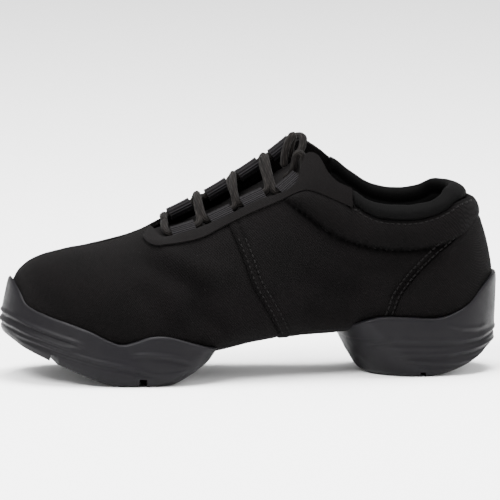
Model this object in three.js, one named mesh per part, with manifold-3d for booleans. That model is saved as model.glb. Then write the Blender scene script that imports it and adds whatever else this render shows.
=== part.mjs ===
// A low black canvas dance sneaker with a split sole, laced through webbing loops. It is a left shoe.
// Millimetres, +Z up. The toe points to -X, the outer (lateral) side to -Y and the inner (medial) side to +Y.
// Every shape starts from the last. A share of 0 along the last is the back of the heel and 1 is the toe tip.

import * as THREE from "three";
import { mergeVertices } from "three/addons/utils/BufferGeometryUtils.js";
import Module from "manifold-3d";

const wasm = await Module();
wasm.setup();

// Overall sizes of the upper
const upperLength = 262.4;
const ballWidth = 92;
const heelSeat = 24; // the underside of the upper above the floor at the heel
const coneHeight = 134; // top of the closed last above the floor, over the mouth
const heelRound = 33; // length over which the heel closes in plan
const toeRound = 50; // length over which the toe closes in plan
const heelLean = 11.5; // how far the back of the heel leans forward at the collar
const heelBulge = 52; // height of the rearmost point of the heel

// Thicknesses and clearances
const upperWall = 2.2;
const overlayThickness = 1.2;
const insoleThickness = 3;
const tongueThickness = 3.2;
const tongueDip = 4.5; // how far the tongue lies below the edge of the throat at its front
const tongueDrop = 7; // and how much further at its free end
const fitGap = 0.3;

// Mouth
const collarHeight = 104.6;
const collarRoll = 8.2; // height of the rolled edge above its seam
const collarFront = 0.31; // share of the length where the rolled edge meets the facing
const rollBulge = 1.6; // how far the rolled edge stands out past the upper
const padDepth = 4.4; // thickness of the padded lining
const padDrop = 20; // how far the padded lining reaches below the seam
const throatWidth = 31;
const medialLift = 8; // how much higher the facing lies on the inner side

// Soles
const soleRim = 3.4; // how far the units stand out past the upper
const lastingMargin = 12; // turned-in edge of the upper under the sole units
const notchDepth = 3.6;

// Lacing
const laceDiameter = 3.2;
const ribbonThickness = 1;
const loopWidth = 13;
const loopReach = 5.2; // from the edge of the throat to the lace
const loopRoot = 1.7; // from the edge of the throat to the ends of the ribbon
const loopLead = 1.6; // straight run of the lace past each end of a loop
const laceTurn = 2.6; // how far it goes on along the edge before it turns across
const laceSwing = 2.2; // and how far across the throat it then swings
const crossingLift = 2.8; // how far the slack crossings bow up
const barLift = 2.6; // and the front bar
const crossingSteps = 7; // facets along one crossing
const loopRiseNear = 8; // degrees above level at which the loops stand, on the outer side
const loopRiseFar = 5; // and on the inner side

const halfBall = ballWidth / 2;
const facetsBelow = 3; // facets of a section from the underside to its widest point
const facetsAbove = 8; // and from there to the ridge

// The last: one row for each section, from the heel to the toe.
// lateral, medial, centre and crown are shares of half the ball width, seat is a share of heelSeat, ridge is a share
// of coneHeight, and girth is the height of the widest point as a share of the section's height.
const lastRows = [
  { at: 0, lateral: 0.71, medial: 0.71, centre: 0, seat: 1.55, girth: 0.18, ridge: 0.95, crown: 0 },
  { at: 0.024, lateral: 0.71, medial: 0.71, centre: 0, seat: 1.2, girth: 0.19, ridge: 0.955, crown: 0 },
  { at: 0.062, lateral: 0.71, medial: 0.71, centre: 0, seat: 1.05, girth: 0.2, ridge: 0.96, crown: 0 },
  { at: 0.124, lateral: 0.72, medial: 0.71, centre: 0, seat: 1, girth: 0.2, ridge: 0.97, crown: 0 },
  { at: 0.2, lateral: 0.735, medial: 0.71, centre: 0, seat: 1, girth: 0.2, ridge: 0.975, crown: 0.03 },
  { at: 0.276, lateral: 0.75, medial: 0.7, centre: 0, seat: 0.99, girth: 0.2, ridge: 0.985, crown: 0.12 },
  { at: 0.352, lateral: 0.77, medial: 0.7, centre: 0, seat: 0.94, girth: 0.2, ridge: 1.015, crown: 0.22 },
  { at: 0.379, lateral: 0.785, medial: 0.71, centre: 0, seat: 0.93, girth: 0.21, ridge: 1, crown: 0.26 },
  { at: 0.428, lateral: 0.815, medial: 0.73, centre: 0, seat: 0.91, girth: 0.22, ridge: 0.915, crown: 0.28 },
  { at: 0.505, lateral: 0.88, medial: 0.78, centre: 0, seat: 0.8, girth: 0.24, ridge: 0.812, crown: 0.28 },
  { at: 0.581, lateral: 0.945, medial: 0.86, centre: 0, seat: 0.64, girth: 0.26, ridge: 0.722, crown: 0.27 },
  { at: 0.657, lateral: 1, medial: 0.935, centre: 0.01, seat: 0.54, girth: 0.29, ridge: 0.652, crown: 0.23 },
  { at: 0.733, lateral: 1.01, medial: 0.99, centre: 0.02, seat: 0.53, girth: 0.32, ridge: 0.582, crown: 0.17 },
  { at: 0.81, lateral: 0.97, medial: 1, centre: 0.045, seat: 0.57, girth: 0.33, ridge: 0.54, crown: 0.14 },
  { at: 0.886, lateral: 0.91, medial: 0.96, centre: 0.085, seat: 0.72, girth: 0.34, ridge: 0.513, crown: 0.14 },
  { at: 0.943, lateral: 0.87, medial: 0.9, centre: 0.13, seat: 0.93, girth: 0.34, ridge: 0.482, crown: 0.16 },
  { at: 0.975, lateral: 0.85, medial: 0.87, centre: 0.165, seat: 1.12, girth: 0.34, ridge: 0.44, crown: 0.18 },
  { at: 0.99, lateral: 0.84, medial: 0.86, centre: 0.18, seat: 1.25, girth: 0.34, ridge: 0.395, crown: 0.19 },
  { at: 1, lateral: 0.84, medial: 0.86, centre: 0.19, seat: 1.42, girth: 0.35, ridge: 0.352, crown: 0.19 },
];

// Fullness of the sections: 2 is an ellipse, and more is squarer.
const fullnessRows = [
  { at: 0, below: 2.6, above: 3.4 },
  { at: 0.28, below: 3, above: 3 },
  { at: 0.38, below: 3.4, above: 2.15 },
  { at: 0.5, below: 3.4, above: 2 },
  { at: 0.75, below: 3.4, above: 2.1 },
  { at: 0.9, below: 3.2, above: 2.3 },
  { at: 1, below: 2.6, above: 2.4 },
];

// Finished top edge of the rolled collar, as shares of collarHeight
const collarRows = [
  { at: 0, lateral: 1.0, medial: 1.0 },
  { at: 0.085, lateral: 0.98, medial: 0.98 },
  { at: 0.112, lateral: 0.945, medial: 0.951 },
  { at: 0.142, lateral: 0.915, medial: 0.929 },
  { at: 0.18, lateral: 0.896, medial: 0.923 },
  { at: 0.219, lateral: 0.897, medial: 0.94 },
  { at: 0.245, lateral: 0.904, medial: 0.966 },
  { at: 0.264, lateral: 0.916, medial: 1.0 },
  { at: 0.284, lateral: 0.94, medial: 1.034 },
  { at: 0.299, lateral: 0.966, medial: 1.066 },
  { at: 0.31, lateral: 0.979, medial: 1.085 },
  { at: 0.34, lateral: 1.02, medial: 1.12 },
];

// Thin edge of the facing's tabs in front of the rolled edge, from rear to front, as shares of collarHeight
const lateralTab = [
  [0.31, 0.979],
  [0.329, 1.01],
  [0.346, 1.046],
  [0.357, 1.071],
  [0.366, 1.104],
  [0.371, 1.142],
  [0.377, 1.157],
  [0.386, 1.152],
  [0.402, 1.133],
];
const medialTab = [
  [0.31, 1.068],
  [0.333, 1.116],
  [0.36, 1.164],
  [0.381, 1.189],
  [0.396, 1.19],
  [0.425, 1.173],
];

// Edge of the throat in plan, as shares of throatWidth from the middle line
const throatRows = [
  { at: 0.35, lateral: 0.48, medial: 0.5 },
  { at: 0.39, lateral: 0.52, medial: 0.55 },
  { at: 0.43, lateral: 0.62, medial: 0.56 },
  { at: 0.5, lateral: 0.58, medial: 0.5 },
  { at: 0.58, lateral: 0.6, medial: 0.46 },
  { at: 0.65, lateral: 0.62, medial: 0.44 },
  { at: 0.68, lateral: 0.58, medial: 0.4 },
  { at: 0.695, lateral: 0.54, medial: 0.34 },
  { at: 0.703, lateral: 0.4, medial: 0.24 },
  { at: 0.707, lateral: 0.06, medial: 0.06 },
];

// Lower edge of the facing on the outer side, from the front to the collar seam, as shares of collarHeight
const facingEdge = [
  [0.7155, 0.8],
  [0.718, 0.74],
  [0.7165, 0.705],
  [0.708, 0.692],
  [0.691, 0.699],
  [0.653, 0.718],
  [0.615, 0.743],
  [0.573, 0.792],
  [0.52, 0.853],
  [0.465, 0.909],
  [0.413, 0.966],
  [0.39, 0.972],
  [0.358, 0.942],
];

// Front edge of the heel counter, from the back seam down to the sole, as shares of collarHeight
const counterEdge = [
  [0.036, 0.8],
  [0.067, 0.744],
  [0.111, 0.674],
  [0.145, 0.61],
  [0.172, 0.552],
  [0.186, 0.483],
  [0.222, 0.367],
];

// The two sole units. bottom, middle and top are heights of the side, as shares of heelSeat, and middle is the
// groove that runs along it. rim is a share of soleRim, and lean is how far the top leans in, in the same share.
const forefootRows = [
  { at: 0.584, bottom: 0.66, middle: 0.7, top: 0.74, rim: 0.3, lean: 0 },
  { at: 0.6, bottom: 0.44, middle: 0.62, top: 0.8, rim: 0.6, lean: 0 },
  { at: 0.62, bottom: 0.28, middle: 0.52, top: 0.86, rim: 0.8, lean: 0.1 },
  { at: 0.65, bottom: 0.15, middle: 0.43, top: 0.96, rim: 0.95, lean: 0.2 },
  { at: 0.692, bottom: 0, middle: 0.36, top: 1.1, rim: 1, lean: 0.3 },
  { at: 0.712, bottom: 0, middle: 0.34, top: 1.14, rim: 1, lean: 0.3 },
  { at: 0.741, bottom: 0, middle: 0.35, top: 1.13, rim: 1, lean: 0.3 },
  { at: 0.771, bottom: 0, middle: 0.4, top: 1.02, rim: 1, lean: 0.3 },
  { at: 0.798, bottom: 0, middle: 0.47, top: 0.96, rim: 1, lean: 0.3 },
  { at: 0.825, bottom: 0.05, middle: 0.54, top: 1.06, rim: 1, lean: 0.3 },
  { at: 0.859, bottom: 0.17, middle: 0.62, top: 1.25, rim: 1, lean: 0.3 },
  { at: 0.901, bottom: 0.36, middle: 0.78, top: 1.42, rim: 1.05, lean: 0.4 },
  { at: 0.943, bottom: 0.57, middle: 0.98, top: 1.57, rim: 1.15, lean: 0.6 },
  { at: 0.977, bottom: 0.76, middle: 1.17, top: 1.76, rim: 1.3, lean: 0.9 },
  { at: 0.99, bottom: 0.87, middle: 1.26, top: 2.04, rim: 1.3, lean: 1.05 },
  { at: 1, bottom: 0.96, middle: 1.32, top: 2.28, rim: 1.33, lean: 1.15 },
];
const heelRows = [
  { at: 0, bottom: 0.64, middle: 0.92, top: 2.22, rim: 0.75, lean: -0.4 },
  { at: 0.02, bottom: 0.54, middle: 0.9, top: 2.16, rim: 0.65, lean: -0.45 },
  { at: 0.04, bottom: 0.38, middle: 0.88, top: 1.95, rim: 0.7, lean: -0.2 },
  { at: 0.066, bottom: 0.24, middle: 0.85, top: 1.63, rim: 0.8, lean: 0 },
  { at: 0.1, bottom: 0.11, middle: 0.83, top: 1.42, rim: 0.85, lean: 0.2 },
  { at: 0.13, bottom: 0.03, middle: 0.83, top: 1.33, rim: 0.9, lean: 0.2 },
  { at: 0.155, bottom: 0, middle: 0.84, top: 1.33, rim: 0.9, lean: 0.2 },
  { at: 0.2, bottom: 0, middle: 0.86, top: 1.37, rim: 0.9, lean: 0.2 },
  { at: 0.24, bottom: 0, middle: 0.87, top: 1.39, rim: 0.9, lean: 0.2 },
  { at: 0.262, bottom: 0, middle: 0.87, top: 1.37, rim: 0.9, lean: 0.2 },
  { at: 0.28, bottom: 0.07, middle: 0.86, top: 1.32, rim: 0.9, lean: 0.15 },
  { at: 0.296, bottom: 0.21, middle: 0.85, top: 1.25, rim: 0.85, lean: 0.1 },
  { at: 0.309, bottom: 0.44, middle: 0.87, top: 1.18, rim: 0.75, lean: 0 },
  { at: 0.319, bottom: 0.85, middle: 0.95, top: 1.08, rim: 0.6, lean: 0 },
];

// Side profile of a sole unit: below is the share of the way from the bottom to the middle groove, above is the
// share from there to the top, and out is how far that level stands past the rim.
const forefootProfile = [
  { below: 0, out: -4 },
  { below: 0.14, out: -1.8 },
  { below: 0.4, out: -0.4 },
  { below: 0.9, out: 0 },
  { below: 1, out: -1 },
  { above: 0.08, out: -0.1 },
  { above: 0.38, out: 0.1 },
  { above: 0.45, out: -0.9 },
  { above: 0.52, out: -0.2 },
  { above: 0.85, out: -0.6 },
  { above: 1, out: -1.4 },
];
const heelProfile = [
  { below: 0, out: -4 },
  { below: 0.12, out: -1.8 },
  { below: 0.5, out: -0.4 },
  { below: 0.58, out: -1.2 },
  { below: 0.66, out: -0.2 },
  { below: 0.92, out: 0 },
  { below: 1, out: -1 },
  { above: 0.09, out: 0 },
  { above: 0.4, out: 0 },
  { above: 0.85, out: -0.3 },
  { above: 1, out: -1 },
];

// Notches across the underside: place, width and depth as shares of the length, the length and notchDepth
const forefootNotches = [
  { at: 0.931, width: 0.034, depth: 1.25 },
  { at: 0.756, width: 0.036, depth: 1.25 },
];
const heelNotches = [{ at: 0.163, width: 0.026, depth: 0.75 }];

// The two slack ends of the lace past the top loops: places along the length, across as shares of throatWidth
// from the middle line, and heights as shares of collarHeight
const nearEndRows = [
  { at: 0.393, y: -0.383, z: 1.133 },
  { at: 0.403, y: -0.370, z: 1.164 },
  { at: 0.417, y: -0.338, z: 1.151 },
  { at: 0.421, y: -0.273, z: 1.098 },
  { at: 0.420, y: -0.235, z: 1.045 },
];
const farEndRows = [
  { at: 0.387, y: 0.217, z: 1.213 },
  { at: 0.393, y: 0.069, z: 1.161 },
  { at: 0.412, y: -0.076, z: 1.123 },
  { at: 0.422, y: -0.157, z: 1.165 },
  { at: 0.415, y: -0.209, z: 1.244 },
  { at: 0.428, y: -0.273, z: 1.213 },
  { at: 0.435, y: -0.267, z: 1.146 },
  { at: 0.436, y: -0.209, z: 1.075 },
];

// Places of the loops along the throat, on each side
const loopsNear = [0.652, 0.572, 0.505, 0.43];
const loopsFar = [0.645, 0.565, 0.5, 0.43];

// Place along X of a share of the length
function alongX(at) {
  return -at * upperLength;
}

function shareOf(x) {
  return -x / upperLength;
}

// Smooth value of one column of a table at a share of the length
function valueAt(rows, name, at) {
  const last = rows.length - 1;
  let i = 0;
  while (i < last - 1 && at > rows[i + 1].at) i += 1;
  const slope = (k) => {
    const before = rows[Math.max(k - 1, 0)];
    const after = rows[Math.min(k + 1, last)];
    return (after[name] - before[name]) / (after.at - before.at);
  };
  const from = rows[i];
  const to = rows[i + 1];
  const span = to.at - from.at;
  const t = THREE.MathUtils.clamp((at - from.at) / span, 0, 1);
  const t2 = t * t;
  const t3 = t2 * t;
  return (
    (2 * t3 - 3 * t2 + 1) * from[name] +
    (t3 - 2 * t2 + t) * span * slope(i) +
    (3 * t2 - 2 * t3) * to[name] +
    (t3 - t2) * span * slope(i + 1)
  );
}

// How much of its full width the last keeps near its two ends
function endFactor(at) {
  const fromHeel = at * upperLength;
  const fromToe = (1 - at) * upperLength;
  const heel = Math.max(0, 1 - fromHeel / heelRound);
  const toe = Math.max(0, 1 - fromToe / toeRound);
  return Math.sqrt(Math.max(0, 1 - heel * heel)) * Math.pow(Math.max(0, 1 - Math.pow(toe, 2.3)), 1 / 2.3);
}

// Sizes of the section at a share of the length
function sectionAt(at) {
  const ends = endFactor(at);
  const seat = valueAt(lastRows, "seat", at) * heelSeat;
  const ridge = valueAt(lastRows, "ridge", at) * coneHeight;
  const centre = valueAt(lastRows, "centre", at) * halfBall;
  const crown = (valueAt(lastRows, "crown", at) - valueAt(lastRows, "centre", at)) * halfBall;
  return {
    lateral: valueAt(lastRows, "lateral", at) * halfBall * ends,
    medial: valueAt(lastRows, "medial", at) * halfBall * ends,
    centre,
    crown: centre + crown * ends,
    seat,
    ridge,
    girth: seat + (ridge - seat) * valueAt(lastRows, "girth", at),
    below: 2 / valueAt(fullnessRows, "below", at),
    above: 2 / valueAt(fullnessRows, "above", at),
  };
}

// The back of the heel leans forward above its bulge, and the lean dies out along the quarter.
function leanAt(at, z) {
  const rise = Math.max(0, z - heelBulge) / (collarHeight - collarRoll - heelBulge);
  const fade = Math.max(0, 1 - at / collarFront);
  return heelLean * Math.pow(rise, 1.5) * fade * fade;
}

// A point of the last's upper half: turn runs from 0 at the widest point to 1 at the ridge, side is -1 or 1
function upperPoint(at, side, turn) {
  const s = sectionAt(at);
  const angle = (turn * Math.PI) / 2;
  const width = side < 0 ? s.lateral : s.medial;
  const reach = width + side * (s.centre - s.crown);
  const y = s.crown + side * reach * Math.pow(Math.cos(angle), s.above);
  const z = s.girth + (s.ridge - s.girth) * Math.pow(Math.sin(angle), s.above);
  return new THREE.Vector3(alongX(at) - leanAt(at, z), y, z);
}

// A point of its lower half: turn runs from 0 at the underside to 1 at the widest point
function lowerPoint(at, side, turn) {
  const s = sectionAt(at);
  const angle = (turn * Math.PI) / 2;
  const width = side < 0 ? s.lateral : s.medial;
  const y = s.centre + side * width * Math.pow(Math.sin(angle), s.below);
  const z = s.girth - (s.girth - s.seat) * Math.pow(Math.cos(angle), s.below);
  return new THREE.Vector3(alongX(at) - leanAt(at, z), y, z);
}

// The stations of the sections, closer together towards both ends
function stationShares() {
  const heelShare = heelRound / upperLength;
  const toeShare = toeRound / upperLength;
  const quarter = (k, n) => 1 - Math.cos(((k / n) * Math.PI) / 2);
  const shares = [];
  for (let k = 0; k < 5; k += 1) shares.push(heelShare * quarter(k, 5));
  const middle = 15;
  for (let k = 0; k < middle; k += 1) {
    shares.push(heelShare + ((1 - heelShare - toeShare) * k) / middle);
  }
  for (let k = 6; k >= 0; k -= 1) shares.push(1 - toeShare * quarter(k, 6));
  return shares;
}

// One ring of the last, from the underside up the outer side, over the ridge and down the inner side
function ringAt(at) {
  const ring = [];
  for (let k = 0; k < facetsBelow; k += 1) ring.push(lowerPoint(at, -1, k / facetsBelow));
  for (let k = 0; k < facetsAbove; k += 1) ring.push(upperPoint(at, -1, k / facetsAbove));
  for (let k = facetsAbove; k > 0; k -= 1) ring.push(upperPoint(at, 1, k / facetsAbove));
  for (let k = facetsBelow; k > 0; k -= 1) ring.push(lowerPoint(at, 1, k / facetsBelow));
  return ring;
}

function indexed(points, faces) {
  const geometry = new THREE.BufferGeometry().setFromPoints(points);
  geometry.setIndex(faces);
  return mergeVertices(geometry, 1e-3);
}

// Skin between rings of equal length
function ringSkin(rings) {
  const count = rings[0].length;
  const faces = [];
  for (let i = 0; i + 1 < rings.length; i += 1) {
    for (let j = 0; j < count; j += 1) {
      const a = i * count + j;
      const b = i * count + ((j + 1) % count);
      faces.push(a, b, b + count, a, b + count, a + count);
    }
  }
  return faces;
}

// Faces that lost their area when points were merged are dropped.
function withoutSlivers(geometry) {
  const index = geometry.index.array;
  const kept = [];
  for (let i = 0; i < index.length; i += 3) {
    const [a, b, c] = [index[i], index[i + 1], index[i + 2]];
    if (a !== b && b !== c && c !== a) kept.push(a, b, c);
  }
  geometry.setIndex(kept);
  return geometry;
}

const lastGeometry = (() => {
  const rings = stationShares().map(ringAt);
  return withoutSlivers(indexed(rings.flat(), ringSkin(rings)));
})();
lastGeometry.computeVertexNormals();

function solidFrom(geometry) {
  const bare = geometry.clone();
  bare.deleteAttribute("normal");
  bare.deleteAttribute("uv");
  const merged = withoutSlivers(mergeVertices(bare, 1e-3));
  const solid = new wasm.Manifold(
    new wasm.Mesh({
      numProp: 3,
      vertProperties: new Float32Array(merged.attributes.position.array),
      triVerts: new Uint32Array(merged.index.array),
    }),
  );
  return solid;
}

// The last grown (or shrunk) along its normals. sink lowers its top, as a function of the place along X.
function lastForm(offset, sink = () => 0) {
  const grown = lastGeometry.clone();
  const place = grown.attributes.position;
  const normal = grown.attributes.normal;
  for (let i = 0; i < place.count; i += 1) {
    const x = place.getX(i) + normal.getX(i) * offset;
    const y = place.getY(i) + normal.getY(i) * offset;
    const z = place.getZ(i) + normal.getZ(i) * offset;
    place.setXYZ(i, x, y, z - sink(x));
  }
  return solidFrom(grown);
}

// A slab with an outline in side view, between two places along Y
function sideSlab(outline, fromY, toY) {
  const shape = new THREE.Shape(outline.map(([x, z]) => new THREE.Vector2(x, z)));
  const slab = new THREE.ExtrudeGeometry(shape, { depth: toY - fromY, bevelEnabled: false });
  slab.rotateX(Math.PI / 2);
  slab.translate(0, toY, 0);
  return solidFrom(slab);
}

// A column with an outline in plan, between two heights
function planColumn(outline, fromZ, toZ) {
  const shape = new THREE.Shape(outline.map(([x, y]) => new THREE.Vector2(x, y)));
  const slab = new THREE.ExtrudeGeometry(shape, { depth: toZ - fromZ, bevelEnabled: false });
  slab.translate(0, 0, fromZ);
  return solidFrom(slab);
}

const farSide = ballWidth;
const above = coneHeight * 1.3;

// Points of a line through a short list, smoothed
function smoothLine(points, steps) {
  const curve = new THREE.SplineCurve(points.map(([x, z]) => new THREE.Vector2(x, z)));
  return curve.getPoints(steps).map((p) => [p.x, p.y]);
}

function sizedLine(shares) {
  return shares.map(([at, height]) => [alongX(at), height * collarHeight]);
}

// Height of the rolled collar's top edge and of its seam
function collarTop(x, side) {
  return valueAt(collarRows, side < 0 ? "lateral" : "medial", shareOf(x)) * collarHeight;
}

function collarSeam(x, side) {
  return collarTop(x, side) - collarRoll;
}

// What is cut away over the mouth on one side: above the collar's seam, and above the edge of the tab
function mouthCut(side) {
  const outline = [[heelRound, above]];
  const seamSteps = 16;
  outline.push([heelRound, collarSeam(0, side)]);
  for (let k = 0; k <= seamSteps; k += 1) {
    const x = alongX((collarFront * k) / seamSteps);
    outline.push([x, collarSeam(x, side)]);
  }
  const tab = sizedLine(side < 0 ? lateralTab : medialTab);
  outline.push(...smoothLine(tab, 14));
  outline.push([tab[tab.length - 1][0], above]);
  return side < 0 ? sideSlab(outline, -farSide, 0) : sideSlab(outline, 0, farSide);
}

function throatEdgeY(at, side) {
  return side * valueAt(throatRows, side < 0 ? "lateral" : "medial", at) * throatWidth;
}

function throatCut() {
  const first = throatRows[0].at;
  const front = throatRows[throatRows.length - 1].at;
  const steps = 16;
  const outline = [];
  for (let k = 0; k <= steps; k += 1) {
    const at = first + ((front - first) * k) / steps;
    outline.push([alongX(at), throatEdgeY(at, -1)]);
  }
  for (let k = steps; k >= 0; k -= 1) {
    const at = first + ((front - first) * k) / steps;
    outline.push([alongX(at), throatEdgeY(at, 1)]);
  }
  return planColumn(outline, coneHeight / 2, above);
}

// Closed outline in plan of the last's widest level between two shares, with the free end rounded.
// Each entry has its share, its point and its outward direction.
function planLoop(from, to, freeRound, steps) {
  const low = Math.min(from, to);
  const high = Math.max(from, to);
  const shares = [];
  for (let k = 0; k <= steps; k += 1) {
    shares.push(low + ((high - low) * (1 - Math.cos((k / steps) * Math.PI))) / 2);
  }
  const squeeze = (at) => {
    const gapLow = low > 0 ? Math.max(0, 1 - ((at - low) * upperLength) / freeRound) : 0;
    const gapHigh = high < 1 ? Math.max(0, 1 - ((high - at) * upperLength) / freeRound) : 0;
    const worst = Math.max(gapLow, gapHigh);
    return Math.pow(Math.max(0, 1 - Math.pow(worst, 3)), 1 / 3);
  };
  const pointAt = (at, side) => {
    const s = sectionAt(at);
    const width = (side < 0 ? s.lateral : s.medial) * squeeze(at);
    return new THREE.Vector2(alongX(at), s.centre + side * width);
  };
  const loop = [];
  for (let k = 0; k <= steps; k += 1) loop.push({ at: shares[k], point: pointAt(shares[k], -1) });
  for (let k = steps - 1; k > 0; k -= 1) loop.push({ at: shares[k], point: pointAt(shares[k], 1) });
  loop.forEach((entry, i) => {
    const before = loop[(i + loop.length - 1) % loop.length].point;
    const after = loop[(i + 1) % loop.length].point;
    const run = after.clone().sub(before).normalize();
    entry.out = new THREE.Vector2(-run.y, run.x);
  });
  return loop;
}

// A moulded sole unit before the upper's seat is taken out of it
function soleBlank(rows, profile, from, to, freeRound, steps) {
  const loop = planLoop(from, to, freeRound, steps);
  const rings = profile.map((level) =>
    loop.map(({ at, point, out }) => {
      const bottom = Math.max(0, valueAt(rows, "bottom", at)) * heelSeat;
      const middle = valueAt(rows, "middle", at) * heelSeat;
      const top = valueAt(rows, "top", at) * heelSeat;
      const low = "below" in level;
      const z = low ? bottom + (middle - bottom) * level.below : middle + (top - middle) * level.above;
      const rim = valueAt(rows, "rim", at);
      const leanIn = low ? 0 : valueAt(rows, "lean", at) * soleRim * level.above;
      const past = rim * soleRim + level.out * Math.min(1, rim) - leanIn;
      return new THREE.Vector3(point.x + out.x * past, point.y + out.y * past, z);
    }),
  );
  const count = loop.length;
  const faces = ringSkin(rings);
  const lastRing = (rings.length - 1) * count;
  for (let k = 0; k < steps; k += 1) {
    const a = k;
    const b = k + 1;
    const c = (count - k - 1) % count;
    const d = (count - k) % count;
    faces.push(a, c, b, a, d, c);
    faces.push(lastRing + a, lastRing + b, lastRing + c, lastRing + a, lastRing + c, lastRing + d);
  }
  return solidFrom(withoutSlivers(indexed(rings.flat(), faces.reverse())));
}

function notchCut({ at, width, depth }) {
  const x = alongX(at);
  const half = (width * upperLength) / 2;
  const low = -heelSeat;
  const rows = at > 0.5 ? forefootRows : heelRows;
  const roof = valueAt(rows, "bottom", at) * heelSeat + depth * notchDepth;
  const outline = [
    [x - half, low],
    [x + half, low],
    [x + half * 0.4, roof],
    [x - half * 0.4, roof],
  ];
  return sideSlab(outline, -farSide, farSide);
}

function plainMesh(name, geometry, material) {
  const mesh = new THREE.Mesh(geometry, material);
  mesh.name = name;
  return mesh;
}

function meshFrom(name, solid, material) {
  const { vertProperties, triVerts } = solid.getMesh();
  const geometry = new THREE.BufferGeometry();
  geometry.setAttribute("position", new THREE.BufferAttribute(vertProperties, 3));
  geometry.setIndex(new THREE.BufferAttribute(triVerts, 1));
  geometry.computeVertexNormals();
  return plainMesh(name, geometry, material);
}

const canvas = new THREE.MeshStandardMaterial({ color: 0x17171a, roughness: 0.95, metalness: 0 });
const twill = new THREE.MeshStandardMaterial({ color: 0x1b1b1d, roughness: 0.85, metalness: 0 });
const mouldedRubber = new THREE.MeshStandardMaterial({ color: 0x2a2b2d, roughness: 0.55, metalness: 0 });
const lining = new THREE.MeshStandardMaterial({ color: 0x121214, roughness: 0.95, metalness: 0 });
const webbing = new THREE.MeshStandardMaterial({ color: 0x202024, roughness: 0.75, metalness: 0 });
const laceCord = new THREE.MeshStandardMaterial({ color: 0x232328, roughness: 0.75, metalness: 0 });

const mouth = mouthCut(-1).add(mouthCut(1)).add(throatCut());

// Upper: the last as a shell, open at the throat and collar and under the two sole units
function makeUpper() {
  const underside = (from, to) => {
    const inset = planLoop(from, to, lastingMargin * 1.5, 14);
    const outline = inset.map(({ point, out }) => [
      point.x - out.x * lastingMargin,
      point.y - out.y * lastingMargin,
    ]);
    return planColumn(outline, -heelSeat, heelSeat * 1.6);
  };
  const shell = lastForm(0).subtract(lastForm(-upperWall));
  return shell.subtract(mouth).subtract(underside(0, 0.31)).subtract(underside(0.64, 1));
}

function makeInsole() {
  const outline = [];
  const steps = 24;
  const first = 0.025;
  const final = 0.965;
  for (let k = 0; k <= steps; k += 1) {
    const at = first + ((final - first) * k) / steps;
    const top = sectionAt(at).seat + upperWall + fitGap + insoleThickness;
    outline.push([alongX(at), top]);
  }
  outline.push([alongX(final), -heelSeat], [alongX(first), -heelSeat]);
  return lastForm(-upperWall - fitGap).intersect(sideSlab(outline, -farSide, farSide));
}

function makeTongue() {
  const front = 0.72;
  const rear = 0.4;
  const sink = (x) => {
    const t = THREE.MathUtils.clamp((front - shareOf(x)) / (front - rear), 0, 1.2);
    return tongueDip * THREE.MathUtils.smoothstep(t, 0, 0.25) + tongueDrop * t * t;
  };
  const skin = lastForm(-upperWall - fitGap, sink);
  const below = lastForm(-upperWall - fitGap - tongueThickness, sink);
  const half = throatWidth * 0.8;
  const xFront = alongX(front);
  const xRear = alongX(rear);
  const outline = smoothLine(
    [
      [xFront, -half * 0.6],
      [xFront * 0.75 + xRear * 0.25, -half * 0.9],
      [xRear - half * 0.7, -half],
      [xRear - half * 0.1, -half * 0.7],
      [xRear + half * 0.1, half * 0.1],
      [xRear - half * 0.1, half * 0.8],
      [xRear - half * 0.7, half],
      [xFront * 0.75 + xRear * 0.25, half * 0.95],
      [xFront, half * 0.75],
    ],
    24,
  );
  return skin.subtract(below).intersect(planColumn(outline, coneHeight * 0.4, above));
}

function overlaySkin() {
  return lastForm(fitGap + overlayThickness).subtract(lastForm(fitGap));
}

function makeFacing() {
  const edge = smoothLine(sizedLine(facingEdge), 20);
  const seamAt = alongX(collarFront);
  const half = (side, lift) => {
    const faded = (x) => lift * THREE.MathUtils.clamp((x - edge[0][0]) / (throatWidth / 2), 0, 1);
    const outline = edge.map(([x, z]) => [x, z + faded(x)]);
    outline.push([seamAt, collarSeam(seamAt, side)]);
    outline.push([seamAt, above], [edge[0][0], above]);
    return side < 0 ? sideSlab(outline, -farSide, 0) : sideSlab(outline, 0, farSide);
  };
  return overlaySkin().intersect(half(-1, 0).add(half(1, medialLift))).subtract(mouth);
}

// Side view of the heel counter, grown by a margin
function counterSlab(margin) {
  const edge = smoothLine(sizedLine(counterEdge), 12);
  const outline = edge.map(([x, z]) => [x - margin, z + margin]);
  const low = heelSeat * 1.05 - margin;
  outline.unshift([heelRound, outline[0][1]]);
  outline.push([outline[outline.length - 1][0], low], [heelRound, low]);
  return sideSlab(outline, -farSide, farSide);
}

function makeCounter() {
  return overlaySkin().intersect(counterSlab(0));
}

function makeSole(rows, profile, from, to, notches, seat) {
  let solid = soleBlank(rows, profile, from, to, 10, 20).subtract(seat);
  notches.forEach((notch) => {
    solid = solid.subtract(notchCut(notch));
  });
  return solid;
}

// A point of the last's upper half at a given height, with its outward direction
function atHeight(at, side, height) {
  let low = 0;
  let high = 0.98;
  for (let k = 0; k < 40; k += 1) {
    const mid = (low + high) / 2;
    if (upperPoint(at, side, mid).z < height) low = mid;
    else high = mid;
  }
  const turn = (low + high) / 2;
  const step = 1e-3;
  const near = Math.max(at, 2 * step);
  const point = upperPoint(at, side, turn);
  const along = upperPoint(near + step, side, turn).sub(upperPoint(near - step, side, turn));
  const up = upperPoint(near, side, turn + step).sub(upperPoint(near, side, turn - step));
  const normal = along.cross(up).normalize();
  if (normal.y * side < 0) normal.negate();
  if (at === 0) normal.setY(0).normalize();
  return { point, normal };
}

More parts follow.
